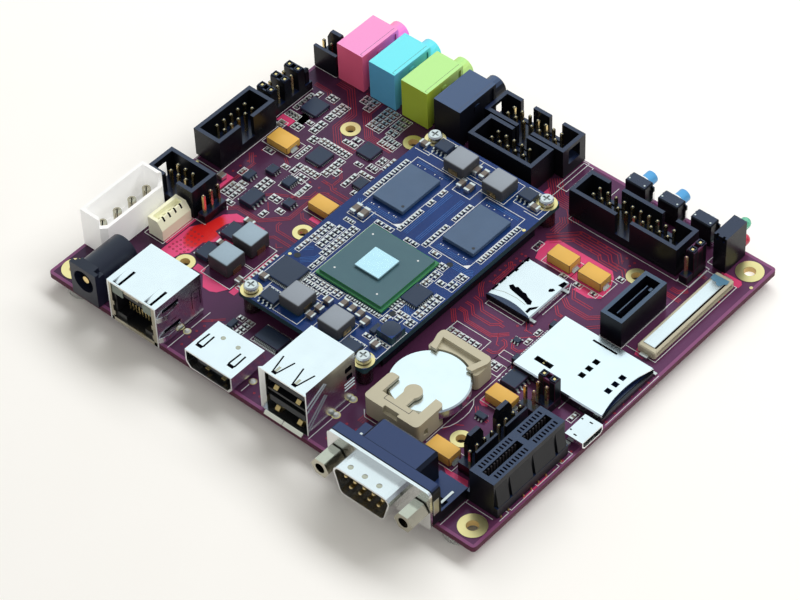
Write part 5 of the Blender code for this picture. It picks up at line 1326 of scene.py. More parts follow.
for x0, y0, x1, y1, columns, rows in VIA_FIELDS:
    for row in range(rows):
        for column in range(columns):
            sway = 0.7 * math.sin(12.9 * column + 7.3 * row + x0)
            x = x0 + (column + 0.5) * (x1 - x0) / columns + sway * 0.5
            y = y0 + (row + 0.5) * (y1 - y0) / rows - sway * 0.4
            add_ring(vias, (x, y, 0.03), 0.14, 0.32, 0.02, sides=10)
outward(vias)
make_piece("via_rings", vias, track_red)

# %% [markdown]
# ## Printed outlines
# White ink shows where each part goes: a box round every tiny part, a frame round every connector,
# and a filled corner where a chip's first leg is. Real boards carry words as well. This one is left
# without them, so only the plain outlines are drawn. They're strips too, a hair above the mask.

# %% Printed lines of the baseboard
INK = 0.17


def add_cell_lines(shape, block, level):
    x0, y0, x1, y1, columns, rows, _ = block
    for column in range(columns + 1):
        x = x0 + column * (x1 - x0) / columns
        add_line(shape, [(x, y0 - INK / 2), (x, y1 + INK / 2)], INK, level)
    for row in range(rows + 1):
        y = y0 + row * (y1 - y0) / rows
        add_line(shape, [(x0 + INK / 2, y), (x1 - INK / 2, y)], INK, level)


BOARD_FRAMES = (
    ((0.5, 5.7), (74.9, 89.3)),
    ((0.3, 8.4), (51.5, 74.3)),
    ((8.9, 18.5), (66.8, 72.5)),
    ((33.6, 42.4), (55.3, 61.9)),
    ((89.9, 98.9), (79.0, 84.6)),
    ((98.9, 109.0), (79.0, 84.6)),
    ((107.8, 116.8), (35.0, 40.7)),
    ((106.9, 116.9), (14.1, 19.6)),
    ((28.6, 38.2), (23.7, 31.9)),
    ((28.6, 38.2), (32.4, 40.6)),
    ((87.3, 97.8), (44.6, 50.8)),
    ((101.9, 106.2), (43.0, 50.7)),
    ((101.9, 106.2), (46.7, 48.6)),
    ((88.7, 99.9), (59.5, 60.7)),
    ((22.9, 28.6), (57.6, 62.6)),
    ((0.4, 7.6), (96.2, 102.8)),
    ((86.0, 119.4), (94.4, 105.2)),
    ((121.2, 125.9), (104.2, 112.4)),
    ((76.6, 79.6), (101.4, 112.0)),
    ((119.2, 123.0), (94.6, 102.6)),
    ((122.8, 131.8), (70.2, 101.8)),
    ((8.7, 14.9), (24.6, 35.6)),
    ((53.3, 61.9), (14.9, 21.1)),
    ((49.0, 77.8), (94.9, 112.6)),
    ((116.2, 122.9), (68.6, 86.2)),
)
BOARD_LINES = (
    [(13.4, 36.0), (18.3, 36.0), (18.3, 44.2), (19.1, 43.2)],
    [(13.6, 35.0), (13.6, 25.6)],
    [(106.4, 17.4), (106.4, 44.2)],
    [(106.4, 34.4), (107.6, 32.8), (108.3, 30.6), (108.4, 28.4), (108.2, 26.2), (107.6, 24.2),
     (106.4, 22.4)],
    [(88.9, 15.6), (90.5, 13.9), (94.9, 13.9)],
    [(39.9, 0.4), (39.9, 6.2)],
    [(39.9, 8.6), (39.9, 15.2)],
    [(85.1, 0.4), (85.1, 9.0)],
    [(85.1, 11.0), (85.1, 15.0)],
    [(62.9, 1.4), (62.9, 4.2)],
    [(47.0, 1.4), (47.0, 3.4)],
    [(94.2, 0.4), (94.2, 10.4)],
    [(125.2, 0.4), (125.2, 9.2)],
    [(101.7, 65.2), (101.7, 75.0), (100.4, 77.8)],
    [(107.6, 48.0), (106.5, 49.4), (106.5, 60.0)],
    [(135.1, 47.4), (135.1, 67.4)],
    [(133.3, 9.2), (125.3, 9.2), (125.3, 14.0)],
    [(133.3, 13.0), (134.8, 13.0), (134.8, 9.8)],
    [(133.2, 21.6), (134.8, 21.6), (134.8, 14.0), (133.4, 14.0)],
    [(133.2, 31.0), (134.8, 31.0), (134.8, 23.3), (133.0, 23.3)],
    [(132.0, 35.8), (134.8, 35.8), (134.8, 32.0), (133.6, 32.0)],
    [(123.5, 44.6), (123.5, 47.6), (120.4, 47.6)],
    [(89.0, 110.4), (89.0, 106.4)],
    [(19.4, 76.9), (20.2, 76.9)],
)
printed = bmesh.new()
for block in BOARD_BLOCKS:
    add_cell_lines(printed, block, PRINT)
for x, y in BOARD_FRAMES:
    add_frame(printed, x, y, INK, PRINT)
for points in BOARD_LINES:
    add_line(printed, points, INK, PRINT)
thicken(printed, 0.02)
make_piece("board_print", printed, ink)

# %% Printed lines of the module
MODULE_PRINT = MODULE_FACE + 0.04
MODULE_FRAMES = (
    ((47.7, 60.0), (60.7, 82.3)),
    ((70.0, 82.1), (60.7, 82.3)),
    ((55.1, 63.0), (21.2, 30.3)),
    ((66.3, 74.6), (21.2, 30.3)),
    ((55.1, 61.6), (82.9, 91.2)),
    ((67.4, 74.8), (82.9, 91.2)),
    ((61.7, 67.3), (79.0, 84.4)),
    ((61.7, 65.9), (85.6, 91.2)),
    ((47.0, 53.8), (85.2, 91.6)),
    ((76.0, 83.4), (85.2, 91.6)),
    ((54.6, 76.8), (35.9, 57.8)),
)
MODULE_LINES = (
    [(44.8, 24.9), (49.0, 24.9), (49.0, 29.0)],
    [(49.3, 21.2), (49.3, 26.6), (54.9, 26.6)],
    [(75.0, 26.6), (80.4, 26.6), (80.4, 21.2)],
    [(80.2, 24.9), (84.8, 24.9), (84.8, 30.0), (79.6, 30.0)],
    [(79.6, 30.2), (79.6, 35.6), (84.9, 35.6), (84.9, 30.2)],
    [(45.0, 84.4), (49.4, 84.4), (49.4, 86.8)],
    [(80.0, 84.4), (84.8, 84.4), (84.8, 88.4)],
    [(45.2, 36.2), (45.2, 28.1), (54.0, 28.1), (54.0, 36.2)],
    [(47.2, 61.2), (47.2, 56.6), (52.4, 56.6), (52.4, 61.2)],
)
printed = bmesh.new()
for block in MODULE_BLOCKS:
    add_cell_lines(printed, block, MODULE_PRINT)
for x, y in MODULE_FRAMES:
    add_frame(printed, x, y, INK, MODULE_PRINT)
for points in MODULE_LINES:
    add_line(printed, points, INK, MODULE_PRINT)
for x in (60.0, 82.1):
    add_face(printed, [(x, 60.7), (x, 62.2), (x - 1.5, 60.7)], MODULE_PRINT + 0.001)
for x in (49.5, 71.8):
    for y in (63.0, 80.2):
        for slip in (0.0, 0.7, 2.4, 5.6, 7.2, 7.9):
            add_line(printed, [(x + slip, y - 0.18), (x + slip, y + 0.18)], 0.22, MODULE_PRINT)
thicken(printed, 0.02)
make_piece("module_print", printed, ink)

# %% Tracks of the module
MODULE_BUNDLES = (
    ([(46.4, 62.4), (48.8, 60.0), (53.6, 60.0)], 3),
    ([(62.6, 60.4), (62.6, 77.6)], 3),
    ([(66.4, 60.4), (66.4, 77.6)], 3),
    ([(49.0, 42.6), (45.6, 39.2), (45.6, 36.6)], 3),
    ([(49.2, 37.4), (52.0, 40.2), (52.0, 41.4)], 4),
    ([(84.2, 60.4), (82.4, 59.4), (78.0, 59.4)], 4),
    ([(48.8, 62.0), (58.6, 62.0)], 3),
    ([(71.2, 62.0), (80.8, 62.0)], 3),
    ([(48.8, 81.2), (58.8, 81.2)], 2),
    ([(71.2, 81.2), (81.0, 81.2)], 2),
    ([(76.8, 44.0), (80.6, 40.6), (84.4, 40.6)], 3),
)
tracks = bmesh.new()
for points, count in MODULE_BUNDLES:
    add_bundle(tracks, points, count, 0.5, 0.16, MODULE_FACE + COPPER)
thicken(tracks, 0.015)
make_piece("module_tracks", tracks, track_blue)

# %% [markdown]
# ## Short pin headers and shunts
# A few pin headers are part of the board's solid. Black sleeves a few hundredths larger cover their
# plastic bases. A shunt is a small cap pushed over two pins, open at the top, so the gold tips look
# out of it: two little square collars and a low bridge between them.

# %% Header sleeves and shunts
sleeves = bmesh.new()
for centre, size in (
    ((17.2, 40.0), (2.46, 7.54)),
    ((120.9, 95.9), (2.46, 2.46)),
    ((120.9, 99.8), (2.46, 5.0)),
    ((120.5, 43.6), (5.0, 5.0)),
    ((119.0, 39.5), (5.0, 2.46)),
):
    add_box(sleeves, centre, (*size, 2.52), 0.01)
for centre, along in (((120.9, 99.8), "y"), ((120.5, 44.87), "x")):
    for way in (-1, 1):
        add_box(sleeves, shifted(centre, along, way * 1.65), (*lay(along, 1.66, 2.36), 6.24), 2.5)
    add_box(sleeves, centre, (*lay(along, 1.7, 2.36), 5.24), 2.5)
soften(sleeves, 0.12)
make_piece("header_sleeves", sleeves, black)

# %% Collars and tips of the shunts
collars, tips = bmesh.new(), bmesh.new()
SHUNTS = [((120.9, 99.8), "y", 8.72), ((120.5, 44.87), "x", 8.72)]
SHUNTS += [((3.3, 81.7 + (row - 2.5) * PITCH), "x", 9.0) for row in (0, 2, 4)]
TOPS = [(shifted(spot, along, way * 1.5), top) for spot, along, top in SHUNTS for way in (-1, 1)]
for (x, y), level in TOPS:
    for way in (-1, 1):
        add_box(collars, (x + way * 0.72, y), (0.34, 1.9, 0.34), level)
        add_box(collars, (x, y + way * 0.78), (1.7, 0.34, 0.34), level)
    add_box(tips, (x, y), (0.6, 0.6, 0.16), level)
soften(collars, 0.06)
make_piece("shunt_collars", collars, black)
make_piece("shunt_tips", tips, gold)

# %% [markdown]
# ## Network jack
# The shield is one folded sheet. Two tongues are cut in its top and bent down into the mouth, where
# they press on the plug, and two more bulge from its side. Its front is a frame round the dark mouth
# with a light window in each upper corner and eight gold wires inside. The bent tongues are lines of
# short plates that follow a curve.


# %% Bent strips
def add_tongue(shape, points, width, thickness, across="x"):
    """A bent strip of sheet: (along, height) points pushed out sideways about a middle."""
    middle, course = points
    left, right = (
        [shape.verts.new((*lay(across, middle + side, along), height)) for along, height in course]
        for side in (-width / 2, width / 2)
    )
    faces = [
        shape.faces.new((left[n], left[n + 1], right[n + 1], right[n])) for n in range(len(course) - 1)
    ]
    shape.normal_update()
    bmesh.ops.solidify(shape, geom=faces, thickness=thickness)


springs = bmesh.new()
TOP_SPRINGS = (25.2, 35.6)
for middle in TOP_SPRINGS:
    course = [(4.9, 13.38), (3.0, 13.37), (1.6, 13.2), (0.2, 12.8), (-0.8, 12.4)]
    add_tongue(springs, (middle, course), 1.6, 0.16)
for rise in (9.4, 2.6):
    course = [(-0.9, 0.0), (0.2, 0.5), (1.6, 0.85), (3.4, 0.7), (6.2, 0.05)]
    flat = bmesh.new()
    add_tongue(flat, (0.0, course), 1.5, 0.12)
    pour_in(springs, flat, Matrix.Translation((38.82, 0.0, rise)) @ AXES["X"])
outward(springs)
make_piece("network_springs", springs, sheet)
front = bmesh.new()
for x, z in (
    ((22.82, 24.0), (0.32, 13.36)),
    ((37.3, 38.78), (0.32, 13.36)),
    ((22.82, 38.78), (0.32, 1.5)),
    ((26.9, 34.6), (12.7, 13.36)),
    ((24.0, 24.5), (2.2, 3.6)),
    ((24.0, 24.5), (5.6, 7.0)),
    ((36.9, 37.3), (2.2, 3.6)),
    ((36.9, 37.3), (5.6, 7.0)),
    ((28.4, 33.2), (12.1, 12.75)),
):
    add_block(front, x, (-1.18, -0.95), z)
make_piece("network_front", front, dull_metal)
windows = bmesh.new()
for x in ((24.0, 27.6), (34.1, 37.3)):
    add_block(windows, x, (-0.93, -0.6), (9.6, 12.3))
soften(windows, 0.1)
make_piece("network_windows", windows, lens_grey)
wires = bmesh.new()
for number in range(8):
    course = [(3.0, 7.4), (1.3, 6.7), (1.4, 4.1)]
    add_tongue(wires, (27.3 + 1.02 * number, course), 0.36, 0.14)
outward(wires)
make_piece("network_wires", wires, gold)
# Cuts in the shield are near-black plates, painted shade.
slots = bmesh.new()
for y, z in (
    ((3.6, 5.2), (10.55, 10.7)),
    ((3.6, 5.2), (5.85, 6.0)),
    ((10.6, 10.75), (4.2, 9.4)),
    ((13.3, 13.45), (4.2, 9.4)),
    ((10.6, 13.45), (9.4, 9.55)),
    ((11.6, 12.6), (7.0, 7.2)),
    ((2.0, 12.8), (0.9, 1.1)),
):
    add_block(slots, (38.8, 38.83), y, z)
for middle in TOP_SPRINGS:
    add_block(slots, (middle + 0.85, middle + 1.75), (-0.7, 4.9), (13.3, 13.37))
for z in (11.0, 4.2):
    add_block(slots, (38.79, 38.83), (1.0, 6.4), (z - 0.55, z + 0.35))
make_piece("network_slots", slots, hole_black)

# %% [markdown]
# ## Video and USB jacks
# Their shells have tongues too, freed by narrow cuts that are closed at the front: U-shaped on the
# video jack, V-shaped on the USB jack. A cut is thinner than the sheet, so a dark line of painted shade
# just above the metal shows it well enough, with a wider painted shadow where the tongue dips away. The
# USB shell's lower edge is flared outwards, and the video jack's feet stand on gold pads.

# %% Cuts and dimples
VIDEO_TOP, USB_TOP, USB_SIDE = 6.01, 14.41, 84.34
USB_TONGUES = (74.4, 80.6)
cuts = bmesh.new()
for middles, top, course, width, (half, y, depth) in (
    ((49.5, 59.6), VIDEO_TOP, ((0.75, 6.3), (0.9, 2.4), (0.5, 1.8)), 0.46, (0.95, 1.95, 0.9)),
    (USB_TONGUES, USB_TOP, ((1.75, 6.8), (0.6, 1.9), (0.3, 1.5)), 0.4, (0.7, 1.65, 0.85)),
):
    for middle in middles:
        for side in (-1, 1):
            add_line(cuts, [(middle + side * out, along) for out, along in course], width, top)
        add_line(cuts, [(middle - half, y), (middle + half, y)], depth, top + 0.004)
thicken(cuts, 0.01)
for y, z in (((14.6, 16.8), (9.7, 11.2)), ((15.0, 16.9), (7.2, 8.6))):
    add_block(cuts, (USB_SIDE, USB_SIDE + 0.03), y, z)
make_piece("shell_cuts", cuts, hole_black)
# Painted shade: the dimples and the USB tongue tips are real bumps, and their darker zinc finish stands
# for the shade on their slopes.
bumps = bmesh.new()
for x in (52.2, 57.0):
    add_rod(bumps, (x, 7.3, 6.05), 0.68, 0.14, sides=18, tip=0.36)
for middle in USB_TONGUES:
    add_tongue(bumps, (middle, [(4.4, 14.39), (2.6, 14.42), (2.1, 14.41)]), 0.7, 0.02)
for x in (104.7, 109.0, 113.3):
    add_rod(bumps, (x, -6.2, 10.66), 0.85, 0.24, sides=20, tip=0.35)
outward(bumps)
make_piece("shell_bumps", bumps, dull_metal)
ridges = bmesh.new()
for z in (6.0, 5.0, 4.0):
    add_block(ridges, (USB_SIDE, 84.5), (14.2, 17.6), (z, z + 0.18))
for start_z, end_z in ((12.4, 9.2), (8.6, 3.0)):
    add_tongue(ridges, (84.45, [(7.6, start_z), (1.4, end_z)]), 0.16, 0.2)
    add_tongue(ridges, (84.45, [(8.2, start_z - 0.6), (1.4, end_z - 1.8)]), 0.16, 0.2)
outward(ridges)
make_piece("usb_ridges", ridges, nickel)
contacts = bmesh.new()
for x in (73.9, 80.9):
    for z in (7.72, 0.72):
        add_tongue(contacts, (x, [(2.0, z), (2.8, z + 0.7), (3.8, z + 0.8), (5.0, z + 0.1)]), 1.3, 0.16)
for x in (53.0, 58.2):
    add_block(contacts, (x - 0.4, x + 0.4), (0.4, 1.6), (2.5, 2.75))
for x in (50.2, 55.0, 59.8):
    add_block(contacts, (x - 0.35, x + 0.35), (0.3, 1.4), (5.1, 5.3))
outward(contacts)
make_piece("plug_springs", contacts, brass)
folds, pads = bmesh.new(), bmesh.new()
for middle, width in ((74.75, 5.6), (80.75, 6.0)):
    add_tongue(folds, (middle, [(0.3, 1.1), (-0.2, 0.8), (-0.6, 0.42)]), width, 0.12)
for x in (54.0, 59.15):
    add_block(pads, (x - 0.6, x + 0.6), (-0.45, 0.45), (2.95, 3.1))
outward(folds)
make_piece("usb_lip", folds, flare)
make_piece("video_pads", pads, land_gold)

# %% [markdown]
# ## Serial connector
# Nine gold pins stand in the dark insert, in rows of five and four. Each is a rod with a round tip
# that is slightly thicker than the solid pin it covers. On the board side two board locks of bright
# sheet clasp the plastic.

# %% Pins and board locks
pins = bmesh.new()
for count, z in ((5, 7.82), (4, 4.98)):
    for number in range(count):
        x = 109.5 + (number - (count - 1) / 2) * 2.77
        add_rod(pins, (x, -5.3, z), 0.53, 3.8, "Y", 12)
        add_rod(pins, (x, -7.28, z), 0.3, 0.18, "Y", 12, tip=0.53)
make_piece("serial_pins", pins, gold)
locks = bmesh.new()
add_blocks(
    locks,
    ((122.9, 123.6), (3.0, 7.4), (3.72, 3.9)),
    ((121.7, 122.7), (1.3, 2.5), (3.72, 5.3)),
    ((124.86, 124.95), (-1.2, 0.6), (4.4, 9.2)),
    ((94.3, 95.3), (1.3, 2.5), (3.72, 5.3)),
    ((95.4, 96.1), (3.0, 7.4), (3.72, 3.9)),
)
soften(locks, 0.08)
make_piece("serial_locks", locks, solder)

# %% [markdown]
# ## Edge-card slot
# The slot's top has a small window over each contact, and inside each bay the contacts stand like the
# teeth of a comb. Windows are dark plates of painted shade laid on the top, teeth are short blocks on
# the bay's walls, and the legs come out at the foot in two staggered rows.

# %% Windows, teeth and legs
windows, teeth, legs = bmesh.new(), bmesh.new(), bmesh.new()
for first, count in ((33.2, 8), (22.7, 11)):
    for number in range(count):
        y = first - number * 1.04
        for x in (127.2, 131.8):
            add_box(windows, (x, y), (1.25, 0.46, 0.02), 11.0)
        for x in (128.62, 130.38):
            add_box(teeth, (x, y), (0.36, 0.4, 3.0), 7.4)
make_piece("slot_windows", windows, hole_black)
make_piece("slot_teeth", teeth, seam_dark)
for number in range(18):
    x = 133.55 if number % 2 else 134.2
    y = 11.0 + number * 1.33
    if number not in (4, 9, 14):
        add_rod(legs, (x, y, 0.25), 0.34, 0.5, sides=8, tip=0.2)
make_piece("slot_legs", legs, brass)

# %% [markdown]
# ## Card holders and small connectors
# The SIM holder is a bright lid on a black tray with silvery legs in a row, and springy gold contacts
# that glint through its windows. The memory card socket has a black lip in its mouth and a few
# stampings. The display connector is a light lid on a beige body with a comb of tiny contacts, and a
# scrap of blue film is still stuck to its end.

# %% SIM holder
legs, dark, glints = bmesh.new(), bmesh.new(), bmesh.new()
for number in range(15):
    y = 50.6 + number * 0.78
    add_box(legs, (106.8, y), (1.5, 0.36, 0.5), 0.1)
    add_box(legs, (106.1, y), (0.5, 0.36, 0.14), 0.02)
for y in ((48.0, 50.2), (61.9, 64.0)):
    add_block(dark, (106.3, 107.6), y, (0.05, 2.6))
soften(dark, 0.15)
add_block(dark, (128.0, 133.6), (47.6, 66.0), (1.72, 1.76))
for spot in [(x, y) for x in (122.5, 130.3) for y in (53.7, 56.35, 59.0)] + [(113.0, 51.9)]:
    add_box(glints, spot, (0.5, 0.32, 0.1), 2.1)
make_piece("sim_legs", legs, solder)
make_piece("sim_ends", dark, black)
make_piece("sim_glints", glints, gold)

# %% Memory card socket
marks, lip, edges = bmesh.new(), bmesh.new(), bmesh.new()
for outline in (
    [(90.4, 66.3), (91.0, 67.2), (92.0, 66.8), (92.5, 67.3), (94.5, 66.7), (95.3, 66.8), (96.5, 66.1),
     (98.1, 65.7), (98.6, 64.6), (97.9, 64.1), (96.2, 64.7), (94.4, 65.0), (92.6, 65.3), (91.3, 65.6)],
    [(98.7, 71.6), (99.4, 72.2), (100.1, 71.9), (99.8, 71.2), (99.2, 70.6), (98.8, 70.9)],
    [(98.9, 63.6), (100.4, 65.4), (100.4, 64.4), (99.7, 63.2), (99.7, 61.9), (98.9, 62.1)],
    [(88.0, 70.6), (88.9, 70.9), (88.9, 71.9), (88.0, 71.9)],
    [(88.0, 75.0), (88.9, 75.2), (88.9, 76.0), (88.0, 76.0)],
    [(99.9, 75.6), (101.0, 75.6), (101.0, 73.7), (99.5, 73.7)],
):
    add_face(marks, outline, 2.015)
for y, length in ((62.6, 2.2), (65.4, 2.4), (68.4, 2.6), (71.9, 2.6), (74.6, 2.0)):
    add_block(marks, (87.95, 88.5), (y, y + length), (2.0, 2.03))
make_piece("socket_marks", marks, hole_black)
curve = [(88.2 + 12.4 * step / 12, 61.3 + 1.15 * math.sin(math.pi * step / 12)) for step in range(13)]
face = add_face(lip, [(88.1, 60.86), (100.8, 60.86), *reversed(curve)], 2.02)
made = bmesh.ops.extrude_face_region(lip, geom=[face])["geom"]
bmesh.ops.translate(lip, verts=[v for v in made if isinstance(v, bmesh.types.BMVert)], vec=(0, 0, -1.6))
outward(lip)
add_block(lip, (87.88, 101.12), (60.78, 61.0), (0.32, 1.9))
make_piece("socket_lip", lip, slate)
# A darker line of painted shade marks the crease in the sheet.
add_line(edges, [(88.3, 62.9), (91.0, 63.9), (94.5, 64.2), (97.6, 63.8)], 0.1, 2.02)
thicken(edges, 0.01)
make_piece("socket_crease", edges, dull_metal)

# %% Micro USB, display connector and lights
marks = bmesh.new()
for centre, size in (
    ((133.0, 38.9), (0.9, 0.36)),
    ((131.2, 39.6), (0.5, 0.4)),
    ((133.6, 44.1), (0.9, 0.36)),
    ((131.2, 43.8), (0.5, 0.4)),
):
    add_box(marks, centre, (*size, 0.02), 2.7)
add_block(marks, (130.3, 130.62), (72.0, 100.0), (2.4, 2.56))
make_piece("small_marks", marks, hole_black)
lid, ticks = bmesh.new(), bmesh.new()
add_block(lid, (126.9, 130.2), (71.9, 100.2), (2.41, 2.6))
soften(lid, 0.06)
make_piece("display_lid", lid, sheet)
for number in range(52):
    add_box(ticks, (125.75, 73.1 + number * 0.5), (0.6, 0.22, 0.3), 0.05)
make_piece("display_legs", ticks, brass)
film = bmesh.new()
outline = [(126.3, 100.1), (126.3, 98.5), (127.3, 98.1), (128.3, 98.2), (128.7, 97.5), (129.7, 97.4)]
add_face(film, outline + [(130.1, 98.4), (130.9, 99.1), (130.7, 100.3)], 2.63)
thicken(film, 0.03)
make_piece("pull_film", film, film_blue)
tabs = bmesh.new()
for y in (37.3, 45.9):
    add_box(tabs, (132.0, y), (1.5, 0.9, 0.9), 0.02)
for y in (69.9, 102.1):
    add_box(tabs, (128.7, y), (2.4, 1.1, 0.9), 0.02)
for spot in ((107.9, 46.4), (134.0, 67.2), (87.4, 66.0), (101.6, 62.0), (101.6, 74.6), (87.4, 75.6)):
    add_box(tabs, spot, (1.2, 0.9, 0.5), 0.02)
soften(tabs, 0.08)
make_piece("shell_tabs", tabs, solder)

# %% [markdown]
# ## Disk power header, switches and soldered joints
# The disk header is a white box whose long front wall is lower than the others, so that its pins can
# be seen over it. Each side of its outline is raised to its own height, and a step joins the low wall
# to the ends. The two lock headers on the right have low fences in front of their pins.
# The disk header's pins are rolled from tinned sheet, so each is a hollow tube with a slit. Each push
# switch has a white collar round its button, a bright bracket behind it and two small rivets on top.
# Through-hole joints are cones of solder on a gold ring.


# %% Disk power shroud
DISK_CENTRE = (4.1, 23.2)
DISK_HALF = (3.9, 10.9)
DISK_FLOOR, DISK_FRONT, DISK_TOP = 3.3, 9.4, 12.2


def add_shroud(shape, outer, inner, rims, low, floor):
    """A walled box. Each side of the outline has its own height, and a step joins unequal ones."""
    count = len(outer)
    columns = {}

    def corner(ring, number, height):
        key = (ring, number % count, height)
        if key not in columns:
            x, y = (outer if ring == "outer" else inner)[number % count]
            columns[key] = shape.verts.new((x, y, height))
        return columns[key]

    for ring, foot in (("outer", low), ("inner", floor)):
        shape.faces.new([corner(ring, number, foot) for number in range(count)])
        for number, rim in enumerate(rims):
            before, after = rims[number - 1], rims[(number + 1) % count]
            wall = [corner(ring, number, foot), corner(ring, number + 1, foot)]
            if after < rim:
                wall.append(corner(ring, number + 1, after))
            wall += [corner(ring, number + 1, rim), corner(ring, number, rim)]
            if before < rim:
                wall.append(corner(ring, number, before))
            shape.faces.new(wall)
    for number, rim in enumerate(rims):
        pair = [corner("outer", number, rim), corner("outer", number + 1, rim)]
        shape.faces.new(pair + [corner("inner", number + 1, rim), corner("inner", number, rim)])
        after = rims[(number + 1) % count]
        if after != rim:
            step = [corner("outer", number + 1, rim), corner("outer", number + 1, after)]
            shape.faces.new(step + [corner("inner", number + 1, after), corner("inner", number + 1, rim)])
    outward(shape)


disk_shroud = bmesh.new()
half_x, half_y = DISK_HALF
outline = [(-half_x, -half_y), (2.5, -half_y), (half_x, -9.5)]
outline += [(x, -y) for x, y in reversed(outline)]
outer = [(DISK_CENTRE[0] + x, DISK_CENTRE[1] + y) for x, y in outline]
inner = [(DISK_CENTRE[0] + x * 0.77, DISK_CENTRE[1] + y * 0.917) for x, y in outline]
rims = (DISK_TOP, DISK_FRONT, DISK_FRONT, DISK_FRONT, DISK_TOP, DISK_TOP)
add_shroud(disk_shroud, outer, inner, rims, 0.3, DISK_FLOOR)
disk_shroud = make_piece("disk_shroud", disk_shroud, white)
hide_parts("disk_power_header")
fences = bmesh.new()
for y in ((17.1, 24.8), (27.5, 35.3)):
    add_block(fences, (121.3, 122.1), y, (3.25, 7.4))
soften(fences, 0.12)
make_piece("lock_fences", fences, black)

# %% Upright and lying rings
def add_lying_ring(shape, centre, inner, outer, height):
    """A ring whose axis runs along Y, from a ring that is turned on its side."""
    ring = bmesh.new()
    add_ring(ring, (0, 0, 0), inner, outer, height, sides=28)
    pour_in(shape, ring, Matrix.Translation(centre) @ AXES["Y"])


tubes, slits = bmesh.new(), bmesh.new()
x = DISK_CENTRE[0]
for number in range(4):
    y = DISK_CENTRE[1] + (number - 1.5) * 2 * PITCH
    add_ring(tubes, (x, y, 3.35), 0.62, 1.1, 4.42, sides=24)
    add_rod(tubes, (x, y, 5.5), 0.62, 4.3, sides=20)
    add_box(slits, (x + 0.3, y - 0.32), (1.5, 0.3, 0.05), 7.75, -0.8)
    add_box(slits, (x + 0.68, y - 0.72), (0.3, 0.3, 2.3), 5.3)
    course = [(12.8, 6.02), (13.2, 6.02), (13.8, 5.06)]
    add_tongue(slits, (30.1 + (number - 1.5) * 2.0, course), 0.5, 0.02, "y")
outward(tubes)
make_piece("disk_pin_tubes", tubes, dull_metal)
# The slits are dark plates, painted shade.
make_piece("disk_pin_slits", slits, hole_black)
collars, rivets, brackets = bmesh.new(), bmesh.new(), bmesh.new()
for centre in (95.3, 105.4, 115.5):
    add_lying_ring(collars, (centre, 112.02, 4.4), 1.86, 2.35, 0.3)
    for x in (-2.4, 2.2):
        add_rod(rivets, (centre + x, 109.5, 7.02), 0.24, 0.08, sides=12)
    for x in ((centre - 3.74, centre - 3.2), (centre + 3.2, centre + 3.74)):
        add_blocks(brackets, (x, (111.0, 111.72), (0.32, 4.6)), (x, (108.6, 111.1), (0.32, 2.0)))
outward(collars)
make_piece("switch_collars", collars, white)
make_piece("switch_rivets", rivets, solder)
make_piece("switch_brackets", brackets, nickel)
rings, domes = bmesh.new(), bmesh.new()
for (x, y), radius in (
    ((84.9, 16.2), 1.1),
    ((85.1, 10.0), 1.15),
    ((39.9, 7.2), 1.0),
    ((63.0, 5.4), 1.05),
    ((47.0, 4.6), 0.9),
):
    add_ring(rings, (x, y, 0.04), radius * 0.7, radius, 0.05, sides=20)
    add_rod(domes, (x, y, 0.35), radius * 0.8, 0.6, sides=16, tip=radius * 0.4)
for x, y, level in (
    (45.9, 37.4, MODULE_FACE),
    (84.3, 79.3, MODULE_FACE),
    (134.5, 104.0, 0.0),
    (1.4, 51.0, 0.0),
):
    add_rod(rings, (x, y, level + 0.04), 0.45, 0.06, sides=16)
outward(rings)
make_piece("joint_rings", rings, land_gold)
make_piece("joint_domes", domes, joint)

# %% [markdown]
# ## Last small things
# Four heat-sink holes in the module, drawn as dark discs of painted shade, the white dots on the
# processor's lid, the mould seams of the audio jacks, a dark line of painted shade for a groove in the
# cell holder, and a few chips too small for the solid board. A glowing plate, painted light, shows the
# lit paper through the window in the small box header's end, and a glowing disc does the same under
# the back right corner hole. A dark cap hides the end of the data header's tongue, and a smooth sleeve
# rounds off the power jack's barrel. The two lights get the round tips that look out behind their
# holder, each a short rod and a ball.

# %% Holes, dots, seams and stray chips
FIRST_SEAM, AUDIO_PITCH = 15.88, 10.83
BARREL, BARREL_RADIUS = (14.05, 6.55), 4.38
LIGHT, LIGHT_RADIUS = (125.0, 112.9), 1.51
holes, dots, seams = bmesh.new(), bmesh.new(), bmesh.new()
# Heat-sink holes: dark discs of painted shade.
for x, y in ((47.6, 38.2), (78.1, 38.2), (78.0, 59.0), (47.5, 58.9)):
    add_rod(holes, (x, y, MODULE_FACE + 0.03), 0.85, 0.03, sides=20)
for spot in ((58.1, 53.9), (72.4, 54.0), (58.4, 39.7), (72.1, 39.5)):
    add_rod(dots, (*spot, 8.31), 0.26, 0.02, sides=14)
for number in range(4):
    left = FIRST_SEAM + number * AUDIO_PITCH
    for x, y in (((left, left + 0.08), (96.9, 110.0)), ((left, left + 0.82), (96.9, 96.98))):
        add_block(seams, x, y, (12.3, 12.312))
# A dark line of painted shade for the cell holder's groove.
for x, depth in (((94.0, 101.8), 0.15), ((94.0, 94.15), 1.5), ((101.65, 101.8), 1.5)):
    add_block(seams, x, (16.9, 16.9 + depth), (6.4, 6.412))
make_piece("module_holes", holes, insert_dark)
gaps, barrel = bmesh.new(), bmesh.new()
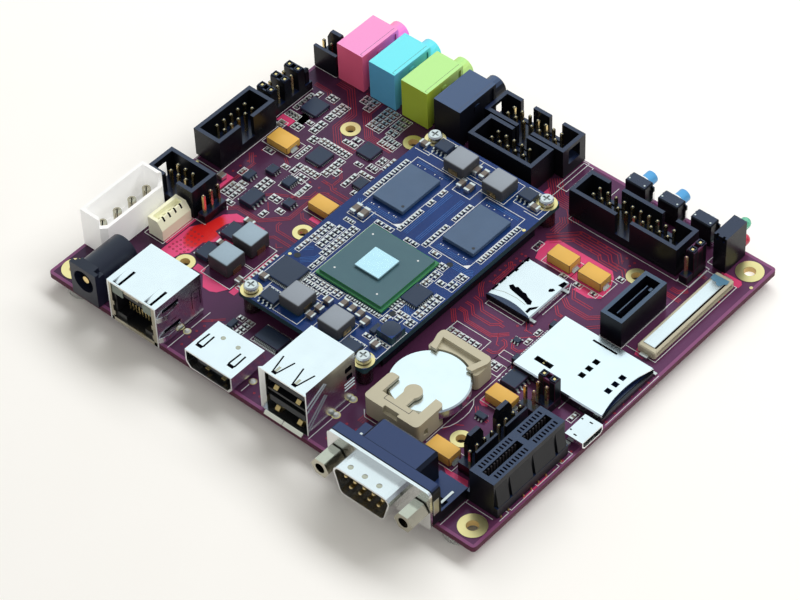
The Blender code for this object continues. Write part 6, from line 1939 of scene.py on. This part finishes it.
# Painted light: glowing plates for the lit paper seen through the header's window and the back right hole.
add_block(gaps, (0.885, 0.9), (36.9, 41.0), (2.5, 7.1))
add_rod(gaps, (131.0, 108.1, -1.5), 1.49, 0.04, sides=24)
make_piece("painted_light_gaps", gaps, painted_light_gap)
for colour, rise, resin in (("green", 8.6, lens_green), ("red", 3.0, lens_red)):
    tip = bmesh.new()
    add_rod(tip, (*LIGHT, rise), LIGHT_RADIUS, 1.2, "Y", sides=24)
    dome = Matrix.Translation((LIGHT[0], LIGHT[1] + 0.6, rise)) @ AXES["Y"]
    bmesh.ops.create_uvsphere(tip, u_segments=24, v_segments=12, radius=LIGHT_RADIUS, matrix=dome)
    make_piece(f"light_tip_{colour}", tip, resin)
cap = bmesh.new()
add_block(cap, (119.36, 120.16), (71.5, 83.1), (7.4, 7.43))
make_piece("tongue_cap", cap, hole_black)
turns = [math.pi * number / 40 for number in range(41)]
arc = [(BARREL_RADIUS * math.cos(turn), BARREL_RADIUS * math.sin(turn)) for turn in turns]
front, back = (
    [barrel.verts.new((BARREL[0] + x, y, BARREL[1] + z)) for x, z in arc] for y in (1.92, 13.2)
)
skins = [barrel.faces.new((front[n], back[n], back[n + 1], front[n + 1])) for n in range(40)]
bmesh.ops.recalc_face_normals(barrel, faces=skins)
bmesh.ops.solidify(barrel, geom=skins, thickness=0.02)
outward(barrel)
make_piece("jack_barrel", barrel, jack_black)
make_piece("package_dots", dots, ink)
make_piece("mould_seams", seams, seam_dark)
strays, legs = bmesh.new(), bmesh.new()
for centre, size in (
    ((102.5, 54.8), (1.8, 1.4, 0.7)),
    ((111.5, 31.0), (2.8, 1.6, 1.1)),
    ((46.8, 15.6), (1.5, 2.8, 1.0)),
    ((128.2, 51.2), (1.0, 1.6, 0.6)),
):
    add_chip(strays, centre, size, 0.0, 0.08)
    sides = ("front", "back") if size[0] > size[1] else ("left", "right")
    add_legs(legs, (centre, size[:2]), sides, 0.9, (3, 3), 0.34, 0.5, 0.5)
make_piece("stray_chips", strays, chip_black)
make_piece("stray_legs", legs, solder)
